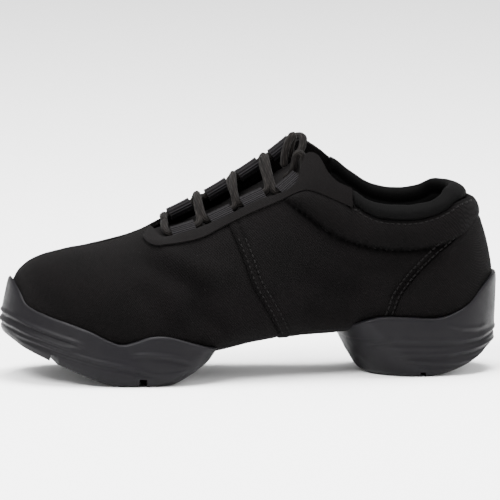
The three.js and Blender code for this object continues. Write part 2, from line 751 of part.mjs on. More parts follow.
// Section of the collar's rolled edge and of the padded lining below it. rise is a share of collarRoll above the
// seam, drop a share of padDrop below it, out a share of rollBulge past the upper, and deep a share of padDepth
// inside the upper's wall.
const collarSection = [
  { rise: 0.04, out: 0.1 },
  { rise: 0.24, out: 0.8 },
  { rise: 0.56, out: 0.6 },
  { rise: 0.85, out: -0.6 },
  { rise: 1, deep: 0.2 },
  { rise: 0.88, deep: 0.65 },
  { rise: 0.5, deep: 1 },
  { drop: 0.35, deep: 0.96 },
  { drop: 0.7, deep: 0.7 },
  { drop: 1, deep: 0.22 },
  { drop: 1, deep: 0 },
  { drop: 0.5, deep: 0 },
  { rise: 0.04, deep: 0 },
];

function makeCollar() {
  const steps = 11;
  const start = collarFront - (3 * fitGap) / upperLength;
  const innerFace = upperWall + fitGap;
  const ring = (at, side) => {
    const seamX = alongX(at) - leanAt(at, collarHeight - collarRoll);
    const seam = collarSeam(seamX, side);
    return collarSection.map(({ rise = 0, drop = 0, out = 0, deep }) => {
      const { point, normal } = atHeight(at, side, seam + rise * collarRoll - drop * padDrop);
      const depth = deep === undefined ? -out * rollBulge : innerFace + deep * padDepth;
      const level = Math.hypot(normal.x, normal.y);
      const aside = new THREE.Vector3(normal.x, normal.y, 0).divideScalar(level * level);
      return point.addScaledVector(aside, -depth);
    });
  };
  const share = (k) => start * (1 - Math.sin(((k / steps) * Math.PI) / 2));
  const rings = [];
  for (let k = 0; k < steps; k += 1) rings.push(ring(share(k), -1));
  rings.push(ring(0, -1));
  for (let k = steps - 1; k >= 0; k -= 1) rings.push(ring(share(k), 1));
  const count = collarSection.length;
  const faces = ringSkin(rings);
  const outline = collarSection.map(({ rise = 0, drop = 0, out = 0, deep }) => {
    const across = deep === undefined ? -out * rollBulge : upperWall + deep * padDepth;
    return new THREE.Vector2(across, rise * collarRoll - drop * padDrop);
  });
  const lastRing = (rings.length - 1) * count;
  THREE.ShapeUtils.triangulateShape(outline, []).forEach(([a, b, c]) => {
    faces.push(a, b, c);
    faces.push(lastRing + a, lastRing + c, lastRing + b);
  });
  const solid = solidFrom(indexed(rings.flat(), faces.reverse()));
  const seated = lastForm(fitGap).subtract(lastForm(-upperWall - fitGap));
  return solid.subtract(seated.subtract(mouth.translate([0, 0, fitGap])));
}

// A point on the edge of the throat, on the outside of the last
function throatPoint(at, side) {
  const s = sectionAt(at);
  const y = throatEdgeY(at, side);
  const width = side < 0 ? s.lateral : s.medial;
  const reach = width + side * (s.centre - s.crown);
  const off = Math.max(0, (side * (y - s.crown)) / reach);
  const power = 2 / s.above;
  const z = s.girth + (s.ridge - s.girth) * Math.pow(1 - Math.pow(off, power), 1 / power);
  return new THREE.Vector3(alongX(at), y, z);
}

// Where a loop stands: its root on the throat's edge, its run along the edge and its reach towards the lace
function loopFrame(at, side) {
  const root = throatPoint(at, side);
  const step = loopWidth / 2 / upperLength;
  const run = throatPoint(at - step, side).sub(throatPoint(at + step, side)).normalize();
  const rise = THREE.MathUtils.degToRad(side < 0 ? loopRiseNear : loopRiseFar);
  const reach = new THREE.Vector3(0, -side * Math.cos(rise), Math.sin(rise));
  reach.addScaledVector(run, -reach.dot(run)).normalize();
  const flat = run.clone().cross(reach);
  const centre = root.clone().addScaledVector(reach, loopReach);
  const half = loopWidth / 2 + loopLead;
  return {
    root,
    run,
    reach,
    flat,
    up: flat.clone().multiplyScalar(-side),
    front: centre.clone().addScaledVector(run, -half),
    rear: centre.clone().addScaledVector(run, half),
  };
}

// A ribbon folded over the lace, its two ends together at the throat's edge
function makeLoop(frame) {
  const inner = laceDiameter / 2 + 2 * fitGap;
  const outer = inner + ribbonThickness;
  const open = Math.asin(ribbonThickness / outer);
  const shape = new THREE.Shape();
  shape.moveTo(loopRoot, -ribbonThickness);
  shape.absarc(loopReach, 0, outer, open - Math.PI, Math.PI - open, false);
  shape.lineTo(loopRoot, ribbonThickness);
  shape.closePath();
  const hole = new THREE.Path();
  hole.absarc(loopReach, 0, inner, 0, Math.PI * 2, true);
  shape.holes.push(hole);
  const loop = new THREE.ExtrudeGeometry(shape, { depth: loopWidth, bevelEnabled: false, curveSegments: 6 });
  const place = new THREE.Matrix4().makeBasis(frame.reach, frame.flat, frame.run);
  place.setPosition(frame.root.clone().addScaledVector(frame.run, -loopWidth / 2));
  loop.applyMatrix4(place);
  return solidFrom(loop);
}

// A cord's middle line through a list of points, each of them kept
class Strand extends THREE.Curve {
  constructor(points) {
    super();
    this.points = points;
  }

  getPointAt(u) {
    return this.points[Math.round(u * (this.points.length - 1))].clone();
  }

  getTangentAt(u) {
    const last = this.points.length - 1;
    const k = Math.round(u * last);
    const before = this.points[Math.max(k - 1, 0)];
    const after = this.points[Math.min(k + 1, last)];
    return after.clone().sub(before).normalize();
  }
}

function cordAlong(points) {
  const section = new THREE.Shape();
  section.absarc(0, 0, laceDiameter / 2, 0, Math.PI * 2, false);
  const cord = new THREE.ExtrudeGeometry(section, {
    steps: points.length - 1,
    extrudePath: new Strand(points),
    bevelEnabled: false,
    curveSegments: 4,
  });
  return solidFrom(cord);
}

// The slack turn of the lace at one end of a loop. way is 1 past its rear and -1 past its front.
function turnPoint(frame, way) {
  const point = (way > 0 ? frame.rear : frame.front).clone();
  point.addScaledVector(frame.run, way * laceTurn);
  return point.addScaledVector(frame.reach, laceSwing).addScaledVector(frame.up, crossingLift);
}

const near = loopsNear.map((at) => loopFrame(at, -1));
const far = loopsFar.map((at) => loopFrame(at, 1));

// One strand, from the middle of the front bar through one loop of each pair to the top
function strandPoints(order) {
  const other = order[0] === near[0] ? far[0] : near[0];
  const start = near[0].front.clone().add(far[0].front).multiplyScalar(0.5);
  const across = order[0].front.clone().sub(other.front).normalize();
  start.addScaledVector(near[0].run, -laceDiameter / 2).addScaledVector(across, -laceDiameter / 4);
  start.z += barLift;
  const bar = new THREE.QuadraticBezierCurve3(start, turnPoint(order[0], -1), order[0].front);
  const points = bar.getPoints(crossingSteps);
  order.forEach((frame, i) => {
    points.push(frame.front.clone().addScaledVector(frame.run, loopLead - fitGap));
    points.push(frame.rear.clone().addScaledVector(frame.run, fitGap - loopLead));
    points.push(frame.rear);
    const next = order[i + 1];
    if (!next) return;
    const curve = new THREE.CubicBezierCurve3(frame.rear, turnPoint(frame, 1), turnPoint(next, -1), next.front);
    points.push(...curve.getPoints(crossingSteps).slice(1));
  });
  return points;
}

function makeCrossings() {
  const first = cordAlong(strandPoints([near[0], far[1], near[2], far[3]]));
  const second = cordAlong(strandPoints([far[0], near[1], far[2], near[3]]));
  return first.add(second);
}

// A slack end of the lace, from the rear of a top loop to where it is tucked in
function makeEnd(frame, rows, steps) {
  const points = [
    frame.rear.clone().addScaledVector(frame.run, 2 * fitGap),
    frame.rear.clone().addScaledVector(frame.run, fitGap + laceTurn),
  ];
  rows.forEach(({ at, y, z }) => {
    points.push(new THREE.Vector3(alongX(at), y * throatWidth, z * collarHeight));
  });
  return cordAlong(new THREE.CatmullRomCurve3(points).getSpacedPoints(steps));
}

const shoe = new THREE.Group();

function add(name, solid, material) {
  shoe.add(meshFrom(name, solid, material));
}

add("upper", makeUpper(), canvas);
add("insole", makeInsole(), lining);
add("tongue", makeTongue(), twill);
add("facing", makeFacing(), twill);
add("heel_counter", makeCounter(), twill);
add("padded_collar", makeCollar(), twill);
const plainSeat = lastForm(fitGap);
const counterSeat = lastForm(overlayThickness + 2 * fitGap).intersect(counterSlab(2 * fitGap));
const forefoot = makeSole(forefootRows, forefootProfile, 0.584, 1, forefootNotches, plainSeat);
const heel = makeSole(heelRows, heelProfile, 0, 0.319, heelNotches, plainSeat.add(counterSeat));
add("forefoot_sole", forefoot, mouldedRubber);
add("heel_sole", heel, mouldedRubber);

near.forEach((frame, i) => add(`webbing_loop_lateral_${i + 1}`, makeLoop(frame), webbing));
far.forEach((frame, i) => add(`webbing_loop_medial_${i + 1}`, makeLoop(frame), webbing));
add("lace_crossings", makeCrossings(), laceCord);
add("lace_end_near", makeEnd(near[near.length - 1], nearEndRows, 14), laceCord);
add("lace_end_far", makeEnd(far[far.length - 1], farEndRows, 26), laceCord);

// The origin is the middle of the footprint, on the floor.
const bounds = new THREE.Box3().setFromObject(shoe);
const middle = bounds.getCenter(new THREE.Vector3());
shoe.position.set(-middle.x, -middle.y, -bounds.min.z);

export default shoe;
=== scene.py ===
import bpy
import math
import numpy as np
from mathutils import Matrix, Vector


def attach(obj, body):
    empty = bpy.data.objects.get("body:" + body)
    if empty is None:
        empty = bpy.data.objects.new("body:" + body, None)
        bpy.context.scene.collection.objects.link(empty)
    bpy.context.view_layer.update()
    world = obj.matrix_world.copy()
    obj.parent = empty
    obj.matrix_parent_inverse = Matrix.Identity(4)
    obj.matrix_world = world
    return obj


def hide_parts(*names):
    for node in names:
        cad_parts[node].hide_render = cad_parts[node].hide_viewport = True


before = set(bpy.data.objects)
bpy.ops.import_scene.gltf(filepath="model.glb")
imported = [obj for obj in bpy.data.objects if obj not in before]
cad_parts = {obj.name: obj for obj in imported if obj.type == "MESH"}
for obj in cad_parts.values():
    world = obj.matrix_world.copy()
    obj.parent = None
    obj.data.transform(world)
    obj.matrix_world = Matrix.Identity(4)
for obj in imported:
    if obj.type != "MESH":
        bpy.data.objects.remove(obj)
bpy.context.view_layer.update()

bpy.ops.object.select_all(action="DESELECT")
rootBody = "root"

# everything is worked out in millimetres along the last, then set in the CAD frame in metres
shoe = {
    "length": 262.4,
    "halfBall": 46.0,
    "seat": 24.0,
    "cone": 134.0,
    "heelRound": 33.0,
    "toeRound": 50.0,
    "heelLean": 11.5,
    "heelBulge": 52.0,
    "collar": 104.6,
    "roll": 8.2,
    "collarFront": 0.31,
    "throat": 31.0,
    "rim": 3.4,
    "shift": (131.7205, -1.1285, 0.0),
}

lastTable = {
    "at": [0, 0.024, 0.062, 0.124, 0.2, 0.276, 0.352, 0.379, 0.428, 0.505, 0.581, 0.657, 0.733, 0.81, 0.886, 0.943, 0.975, 0.99, 1],
    "lateral": [0.71, 0.71, 0.71, 0.72, 0.735, 0.75, 0.77, 0.785, 0.815, 0.88, 0.945, 1, 1.01, 0.97, 0.91, 0.87, 0.85, 0.84, 0.84],
    "medial": [0.71, 0.71, 0.71, 0.71, 0.71, 0.7, 0.7, 0.71, 0.73, 0.78, 0.86, 0.935, 0.99, 1, 0.96, 0.9, 0.87, 0.86, 0.86],
    "centre": [0, 0, 0, 0, 0, 0, 0, 0, 0, 0, 0, 0.01, 0.02, 0.045, 0.085, 0.13, 0.165, 0.18, 0.19],
    "seat": [1.55, 1.2, 1.05, 1, 1, 0.99, 0.94, 0.93, 0.91, 0.8, 0.64, 0.54, 0.53, 0.57, 0.72, 0.93, 1.12, 1.25, 1.42],
    "girth": [0.18, 0.19, 0.2, 0.2, 0.2, 0.2, 0.2, 0.21, 0.22, 0.24, 0.26, 0.29, 0.32, 0.33, 0.34, 0.34, 0.34, 0.34, 0.35],
    "ridge": [0.95, 0.955, 0.96, 0.97, 0.975, 0.985, 1.015, 1, 0.915, 0.812, 0.722, 0.652, 0.582, 0.54, 0.513, 0.482, 0.44, 0.395, 0.352],
    "crown": [0, 0, 0, 0, 0.03, 0.12, 0.22, 0.26, 0.28, 0.28, 0.27, 0.23, 0.17, 0.14, 0.14, 0.16, 0.18, 0.19, 0.19],
}
fullnessTable = {
    "at": [0, 0.28, 0.38, 0.5, 0.75, 0.9, 1],
    "below": [2.6, 3, 3.4, 3.4, 3.4, 3.2, 2.6],
    "above": [3.4, 3, 2.15, 2, 2.1, 2.3, 2.4],
}
collarTable = {
    "at": [0, 0.085, 0.112, 0.142, 0.18, 0.219, 0.245, 0.264, 0.284, 0.299, 0.31, 0.34],
    "lateral": [1.0, 0.98, 0.945, 0.915, 0.896, 0.897, 0.904, 0.916, 0.94, 0.966, 0.979, 1.02],
    "medial": [1.0, 0.98, 0.951, 0.929, 0.923, 0.94, 0.966, 1.0, 1.034, 1.066, 1.085, 1.12],
}
throatTable = {
    "at": [0.35, 0.39, 0.43, 0.5, 0.58, 0.65, 0.68, 0.695, 0.703, 0.707],
    "lateral": [0.48, 0.52, 0.62, 0.58, 0.6, 0.62, 0.58, 0.54, 0.4, 0.06],
    "medial": [0.5, 0.55, 0.56, 0.5, 0.46, 0.44, 0.4, 0.34, 0.24, 0.06],
}
forefootTable = {
    "at": [0.584, 0.6, 0.62, 0.65, 0.692, 0.712, 0.741, 0.771, 0.798, 0.825, 0.859, 0.901, 0.943, 0.977, 0.99, 1],
    "bottom": [0.66, 0.44, 0.28, 0.15, 0, 0, 0, 0, 0, 0.05, 0.17, 0.36, 0.57, 0.76, 0.87, 0.96],
    "middle": [0.7, 0.62, 0.52, 0.43, 0.36, 0.34, 0.35, 0.4, 0.47, 0.54, 0.62, 0.78, 0.98, 1.17, 1.26, 1.32],
    "top": [0.74, 0.8, 0.86, 0.96, 1.1, 1.14, 1.13, 1.02, 0.96, 1.06, 1.25, 1.42, 1.57, 1.76, 2.04, 2.28],
    "rim": [0.3, 0.6, 0.8, 0.95, 1, 1, 1, 1, 1, 1, 1, 1.05, 1.15, 1.3, 1.3, 1.33],
    "lean": [0, 0, 0.1, 0.2, 0.3, 0.3, 0.3, 0.3, 0.3, 0.3, 0.3, 0.4, 0.6, 0.9, 1.05, 1.15],
}
heelTable = {
    "at": [0, 0.02, 0.04, 0.066, 0.1, 0.13, 0.155, 0.2, 0.24, 0.262, 0.28, 0.296, 0.309, 0.319],
    "bottom": [0.64, 0.54, 0.38, 0.24, 0.11, 0.03, 0, 0, 0, 0, 0.07, 0.21, 0.44, 0.85],
    "middle": [0.92, 0.9, 0.88, 0.85, 0.83, 0.83, 0.84, 0.86, 0.87, 0.87, 0.86, 0.85, 0.87, 0.95],
    "top": [2.22, 2.16, 1.95, 1.63, 1.42, 1.33, 1.33, 1.37, 1.39, 1.37, 1.32, 1.25, 1.18, 1.08],
    "rim": [0.75, 0.65, 0.7, 0.8, 0.85, 0.9, 0.9, 0.9, 0.9, 0.9, 0.9, 0.85, 0.75, 0.6],
    "lean": [-0.4, -0.45, -0.2, 0, 0.2, 0.2, 0.2, 0.2, 0.2, 0.2, 0.15, 0.1, 0, 0],
}
nearEndTable = {
    "at": [0.393, 0.403, 0.417, 0.421, 0.420],
    "y": [-0.383, -0.370, -0.338, -0.273, -0.235],
    "z": [1.133, 1.164, 1.151, 1.098, 1.045],
}
farEndTable = {
    "at": [0.387, 0.393, 0.412, 0.422, 0.415, 0.428, 0.435, 0.436],
    "y": [0.217, 0.069, -0.076, -0.157, -0.209, -0.273, -0.267, -0.209],
    "z": [1.213, 1.161, 1.123, 1.165, 1.244, 1.213, 1.146, 1.075],
}
lateralTab = [(0.308, 0.983), (0.321, 0.996), (0.342, 1.025), (0.356, 1.066), (0.362, 1.101), (0.368, 1.135), (0.377, 1.153), (0.387, 1.152), (0.396, 1.136), (0.403, 1.1), (0.41, 1.06)]
medialTab = [(0.31, 1.068), (0.333, 1.116), (0.36, 1.164), (0.381, 1.189), (0.396, 1.19), (0.425, 1.173)]
facingEdge = [(0.7155, 0.8), (0.718, 0.74), (0.7165, 0.705), (0.708, 0.692), (0.691, 0.699), (0.653, 0.718), (0.615, 0.743), (0.573, 0.792), (0.52, 0.853), (0.465, 0.909), (0.413, 0.966), (0.39, 0.972), (0.358, 0.942), (0.335, 0.918), (0.306, 0.884)]
counterEdge = [(0.036, 0.8), (0.067, 0.744), (0.111, 0.674), (0.145, 0.61), (0.172, 0.552), (0.186, 0.483), (0.222, 0.367)]


forefootRidges = [
    ([0.866, 0.887, 0.911, 0.943, 0.97, 0.985, 1.0], [22.5, 24.6, 26.5, 29.5, 32.3, 34.6, 36.2], 0.8),
    ([0.887, 0.911, 0.943, 0.97, 0.986, 1.0], [20.0, 22.0, 25.0, 27.7, 29.9, 31.4], 0.8),
    ([0.732, 0.797, 0.848, 0.896, 0.933, 0.963, 0.985], [7.6, 11.6, 14.4, 18.1, 21.5, 24.3, 26.2], 0.7),
    ([0.655, 0.676, 0.711, 0.746, 0.78], [13.5, 15.1, 17.1, 17.9, 17.7], 0.7),
]
heelRidges = [
    ([0.022, 0.045, 0.084, 0.114], [26.8, 25.4, 26.0, 29.2], 0.5),
    ([0.0, 0.027, 0.045, 0.088, 0.156, 0.227, 0.273], [23.6, 21.6, 20.4, 19.5, 19.7, 20.9, 18.9], 0.8),
    ([0.0, 0.03, 0.069, 0.124, 0.177, 0.227], [17.2, 16.0, 13.8, 12.4, 12.3, 13.1], 0.8),
    ([0.0, 0.03, 0.045, 0.088, 0.142, 0.206], [12.6, 11.0, 9.0, 7.4, 7.5, 9.6], 0.7),
]


def smoothTable(table, column, at):
    xs, ys = np.array(table["at"]), np.array(table[column])
    last = len(xs) - 1
    before, after = np.maximum(np.arange(last + 1) - 1, 0), np.minimum(np.arange(last + 1) + 1, last)
    slopes = (ys[after] - ys[before]) / (xs[after] - xs[before])
    i = np.clip(np.searchsorted(xs, at, side="left") - 1, 0, last - 1)
    span = xs[i + 1] - xs[i]
    u = np.clip((at - xs[i]) / span, 0, 1)
    u2, u3 = u * u, u * u * u
    rise = (2 * u3 - 3 * u2 + 1) * ys[i] + (3 * u2 - 2 * u3) * ys[i + 1]
    return rise + (u3 - 2 * u2 + u) * span * slopes[i] + (u3 - u2) * span * slopes[i + 1]


# turn runs from -1 under the foot through 0 at the widest point to 1 on the ridge
def lastPoint(at, side, turn):
    at = np.asarray(at, float)
    heel = np.maximum(0, 1 - at * shoe["length"] / shoe["heelRound"])
    toe = np.maximum(0, 1 - (1 - at) * shoe["length"] / shoe["toeRound"])
    ends = np.sqrt(np.maximum(0, 1 - heel * heel)) * np.maximum(0, 1 - toe ** 2.3) ** (1 / 2.3)
    half = shoe["halfBall"]
    seat = smoothTable(lastTable, "seat", at) * shoe["seat"]
    ridge = smoothTable(lastTable, "ridge", at) * shoe["cone"]
    centre = smoothTable(lastTable, "centre", at) * half
    crown = centre + (smoothTable(lastTable, "crown", at) - smoothTable(lastTable, "centre", at)) * half * ends
    width = smoothTable(lastTable, "lateral" if side < 0 else "medial", at) * half * ends
    girth = seat + (ridge - seat) * smoothTable(lastTable, "girth", at)
    below = 2 / smoothTable(fullnessTable, "below", at)
    above = 2 / smoothTable(fullnessTable, "above", at)
    up = np.clip(turn, 0, 1) * np.pi / 2
    down = np.clip(1 + np.minimum(turn, 0), 0, 1) * np.pi / 2
    reach = width + side * (centre - crown)
    yUp = crown + side * reach * np.maximum(np.cos(up), 1e-12) ** above
    zUp = girth + (ridge - girth) * np.maximum(np.sin(up), 1e-12) ** above
    yDown = centre + side * width * np.maximum(np.sin(down), 1e-12) ** below
    zDown = girth - (girth - seat) * np.maximum(np.cos(down), 1e-12) ** below
    y = np.where(turn > 0, yUp, yDown)
    z = np.where(turn > 0, zUp, zDown)
    rise = np.maximum(0, z - shoe["heelBulge"]) / (shoe["collar"] - shoe["roll"] - shoe["heelBulge"])
    fade = np.maximum(0, 1 - at / shoe["collarFront"])
    x = -at * shoe["length"] - shoe["heelLean"] * rise ** 1.5 * fade * fade
    return np.stack([x + 0 * y, y, z], -1)


def lastNormal(at, side, turn):
    at = np.clip(at, 2e-4, 1 - 2e-4)
    turn = np.clip(turn, -0.985, 0.985)
    along = lastPoint(at + 1e-4, side, turn) - lastPoint(at - 1e-4, side, turn)
    across = lastPoint(at, side, turn + 4e-3) - lastPoint(at, side, turn - 4e-3)
    normal = np.cross(along, across)
    normal /= np.linalg.norm(normal, axis=-1, keepdims=True) + 1e-12
    return normal * (1.0 if side < 0 else -1.0) * -1.0


def heightAt(side, x, z):

    x, z = np.asarray(x, float), np.asarray(z, float)
    low, high = np.full(x.shape, -1.0), np.full(x.shape, 1.0)
    at = np.clip(-x / shoe["length"], 0, 1)
    for sweep in range(4):
        low[:], high[:] = -1.0, 1.0
        for step in range(22):
            middle = (low + high) / 2
            under = lastPoint(at, side, middle)[..., 2] < z
            low, high = np.where(under, middle, low), np.where(under, high, middle)
        lean = -at * shoe["length"] - lastPoint(at, side, low)[..., 0]
        at = np.clip(-(x + lean) / shoe["length"], 0, 1)
    return at, (low + high) / 2


def polyline(points, count=200):
    points = np.array(points, float)
    # a spline through the given points
    held = np.concatenate([2 * points[:1] - points[1:2], points, 2 * points[-1:] - points[-2:-1]])
    u = np.linspace(0, 1, 12, endpoint=False)[None, :, None]
    p0, p1, p2, p3 = (held[k:len(held) - 3 + k, None, :] for k in range(4))
    curve = 0.5 * (2 * p1 + (p2 - p0) * u + (2 * p0 - 5 * p1 + 4 * p2 - p3) * u ** 2 + (3 * p1 - p0 - 3 * p2 + p3) * u ** 3)
    points = np.concatenate([curve.reshape(-1, points.shape[1]), points[-1:]])
    run = np.concatenate([[0], np.cumsum(np.linalg.norm(np.diff(points, axis=0), axis=1))])
    s = np.linspace(0, run[-1], count)
    line = np.stack([np.interp(s, run, points[:, k]) for k in range(points.shape[1])], -1)
    for sweep in range(count // 16):
        line[1:-1] = (line[:-2] + 2 * line[1:-1] + line[2:]) / 4
    return line


def sharesLine(shares):
    return [(-at * shoe["length"], height * shoe["collar"]) for at, height in shares]


def collarSeam(x, side):
    return smoothTable(collarTable, "lateral" if side < 0 else "medial", -x / shoe["length"]) * shoe["collar"] - shoe["roll"]


tabLine = {-1: polyline(sharesLine(lateralTab), 120), 1: polyline(sharesLine(medialTab), 120)}


def throatEdge(at, side):
    return side * smoothTable(throatTable, "lateral" if side < 0 else "medial", at) * shoe["throat"]


scan = np.linspace(-1, 1, 801)
throatGap = 1.6  # how much wider the cloth's edge lies than the line that the loops stand on


# where the upper ends at this place: the collar seam, the tab, the throat or the ridge
def topTurn(at, side):
    points = lastPoint(np.full(scan.shape, at), side, scan)
    x, y, z = points.T
    upper = scan > 0
    if at <= shoe["collarFront"]:
        over = z > collarSeam(x, side)
    elif at < throatTable["at"][-1]:
        tab = tabLine[side]
        limit = np.interp(-x, -tab[:, 0], tab[:, 1], right=1e3)
        wide = np.interp(at, [0.395, 0.415, 0.687, 0.707], [-3, throatGap, throatGap, 0]) if side < 0 else 0
        over = (z > limit) | (side * y < side * throatEdge(at, side) + wide)
    else:
        return 1.0
    hits = np.nonzero(over & upper)[0]
    return scan[hits[0]] if len(hits) else 1.0


# turns at even steps of the real length along one section
def turnRun(at, side, low, high, count):
    turns = np.linspace(low, high, 160)
    points = lastPoint(np.full(turns.shape, at), side, turns)
    run = np.concatenate([[0], np.cumsum(np.linalg.norm(np.diff(points, axis=0), axis=1))])
    return np.interp(np.linspace(0, run[-1], count), run, turns)


# rows lie evenly up to a smooth line below every edge, and evenly again from there to the edge
def sectionTurns(at, side):
    top = topTurn(at, side)
    split = min(float(np.interp(at, [0, 0.33, 0.45, 0.6, 1], [0.1, 0.12, 0.4, 0.5, 0.5])), top - 0.02)
    low = turnRun(at, side, -1.0, split, rowSplit + 1)
    return np.concatenate([low[:-1], turnRun(at, side, split, top, rowCount - rowSplit)])


stations = np.unique(np.concatenate([
    np.linspace(0, 1, 150), 0.125 * (1 - np.cos(np.linspace(0, np.pi / 2, 14))),
    1 - 0.19 * (1 - np.cos(np.linspace(0, np.pi / 2, 22))), np.linspace(0.36, 0.41, 12), np.linspace(0.67, 0.715, 14)]))
rowCount, rowSplit = 86, 60
turnTable = {side: np.array([sectionTurns(at, side) for at in stations]) for side in (-1, 1)}


# the turn a share of the way up the section, from under the foot to the upper's edge
def turnAt(at, side, share):
    at, share = np.broadcast_arrays(np.asarray(at, float), np.asarray(share, float))
    i = np.clip(np.searchsorted(stations, at) - 1, 0, len(stations) - 2)
    u = np.clip((at - stations[i]) / (stations[i + 1] - stations[i]), 0, 1)
    j = np.clip((share * (rowCount - 1)).astype(int), 0, rowCount - 2)
    v = share * (rowCount - 1) - j
    t = turnTable[side]
    low = t[i, j] * (1 - v) + t[i, j + 1] * v
    high = t[i + 1, j] * (1 - v) + t[i + 1, j + 1] * v
    return low * (1 - u) + high * u


# the share up the section of a known turn
def shareAt(at, side, turn):
    at, turn = np.broadcast_arrays(np.asarray(at, float), np.asarray(turn, float))
    low, high = np.zeros(at.shape), np.ones(at.shape)
    for step in range(24):
        middle = (low + high) / 2
        under = turnAt(at, side, middle) < turn
        low, high = np.where(under, middle, low), np.where(under, high, middle)
    return (low + high) / 2


shiftX, shiftY, shiftZ = shoe["shift"]


# side-view points are read in the CAD frame
def fromFrame(points):
    return [(x - shiftX, z) for x, z in points]


sideSeam = polyline(fromFrame([(-18.5, 92), (-16.2, 85), (-10.6, 68.6), (-5.6, 53), (1.2, 41.3), (8.8, 27.8), (13.2, 20)]))
paddingLine = polyline(fromFrame([(16, 96), (26, 88.8), (37.9, 79.8), (50.6, 74), (66.1, 70.4), (78.2, 69.5), (90.4, 69.8), (101, 71.6), (112, 75), (124, 80), (140, 86)]))
seamWay = 1.0
seamLine = {}
for side in (-1, 1):
    xs = np.linspace(-shoe["heelLean"] - 1, -shoe["collarFront"] * shoe["length"], 160)
    seamLine[side] = np.stack([xs, collarSeam(xs, side)], -1)


# signed distance in side view to a given line, positive above or behind it, and the share along it
def distanceTo(line, x, z):
    best = np.full(np.shape(x), 1e9)
    sign = np.ones(np.shape(x))
    where = np.zeros(np.shape(x))
    a, b = line[:-1], line[1:]
    for k in range(0, len(a)):
        d = b[k] - a[k]
        size = float(d @ d) + 1e-12
        u = np.clip(((x - a[k, 0]) * d[0] + (z - a[k, 1]) * d[1]) / size, 0, 1)
        ex, ez = x - a[k, 0] - u * d[0], z - a[k, 1] - u * d[1]
        far = ex * ex + ez * ez
        closer = far < best
        best = np.where(closer, far, best)
        sign = np.where(closer, np.where(d[0] * ez - d[1] * ex > 0, 1.0, -1.0), sign)
        where = np.where(closer, (k + u) / len(a), where)
    return np.sqrt(best) * sign, where


# slow unevenness of cloth, made of a few sines so that it is the same on every run
def wave(x, z, scale, seed):
    rng = np.random.default_rng(seed)
    total = 0
    for k in range(6):
        angle, phase, size = rng.uniform(0, np.pi), rng.uniform(0, 6.28), scale * rng.uniform(0.6, 1.7)
        total = total + np.sin((x * np.cos(angle) + z * np.sin(angle)) * 6.28 / size + phase)
    return total / 6


facing = {
    "thickness": 1.1, "over": 0.35, "medialLift": 8.0,
    # its round front in plan: tip as a share of the length, middle, half width and depth to each side
    "tip": 0.7315, "tipCentre": -8.5, "nearHalf": 20.0, "nearDepth": 20.6, "farHalf": 34.0, "farDepth": 38.0,
}
facingLine = polyline(sharesLine(facingEdge), 240)
facingLine = facingLine[np.argmin(facingLine[:, 1]):]


# height of the facing's lower edge
def facingLow(x, side):
    order = np.argsort(facingLine[:, 0])
    z = np.interp(x, facingLine[order, 0], facingLine[order, 1])
    if side > 0:
        z = z + facing["medialLift"] * np.clip((x + 0.7155 * shoe["length"]) / (shoe["throat"] / 2), 0, 1)
    return z


counterTop = 0.8  # share of the collar's height
cloth = {
    "thickness": 1.3,
    "heelPuff": 2.3,
    "puff": 2.8,       # the padded band stands proud between its two seams
    "seamDip": 2.0,
    "unevenness": 0.3,
    "fold": 2.6,
    # foldShade sets the painted shade in the troughs of the folds
    "foldShade": 0.16,
    "pucker": 0.45,
}
# soft troughs (negative) and ridges (positive), listed one by one: side-view line, width and height
creases = [
    (fromFrame([(-66, 70), (-52, 62), (-38, 55), (-28, 45)]), 7.0, -0.9),
    (fromFrame([(-58, 74), (-44, 67), (-30, 60), (-20, 50)]), 5.0, 0.5),
    (fromFrame([(-44, 46), (-34, 40), (-24, 33), (-18, 26)]), 6.0, -0.6),
    (fromFrame([(-70, 56), (-58, 46), (-50, 36), (-46, 26)]), 8.0, -0.5),
    (fromFrame([(-32, 66), (-22, 62), (-14, 60)]), 4.0, 0.35),
    (fromFrame([(18, 62), (32, 54), (48, 50), (60, 52)]), 9.0, -0.6),
    (fromFrame([(20, 40), (36, 36), (52, 38)]), 7.0, -0.5),
    (fromFrame([(70, 40), (80, 52), (92, 62), (103, 69)]), 4.0, -0.8),
    (fromFrame([(40, 68), (55, 62), (72, 61), (86, 63)]), 5.0, -0.4),
]
creases = [(polyline(points, 40), width, height * cloth["fold"]) for points, width, height in creases]


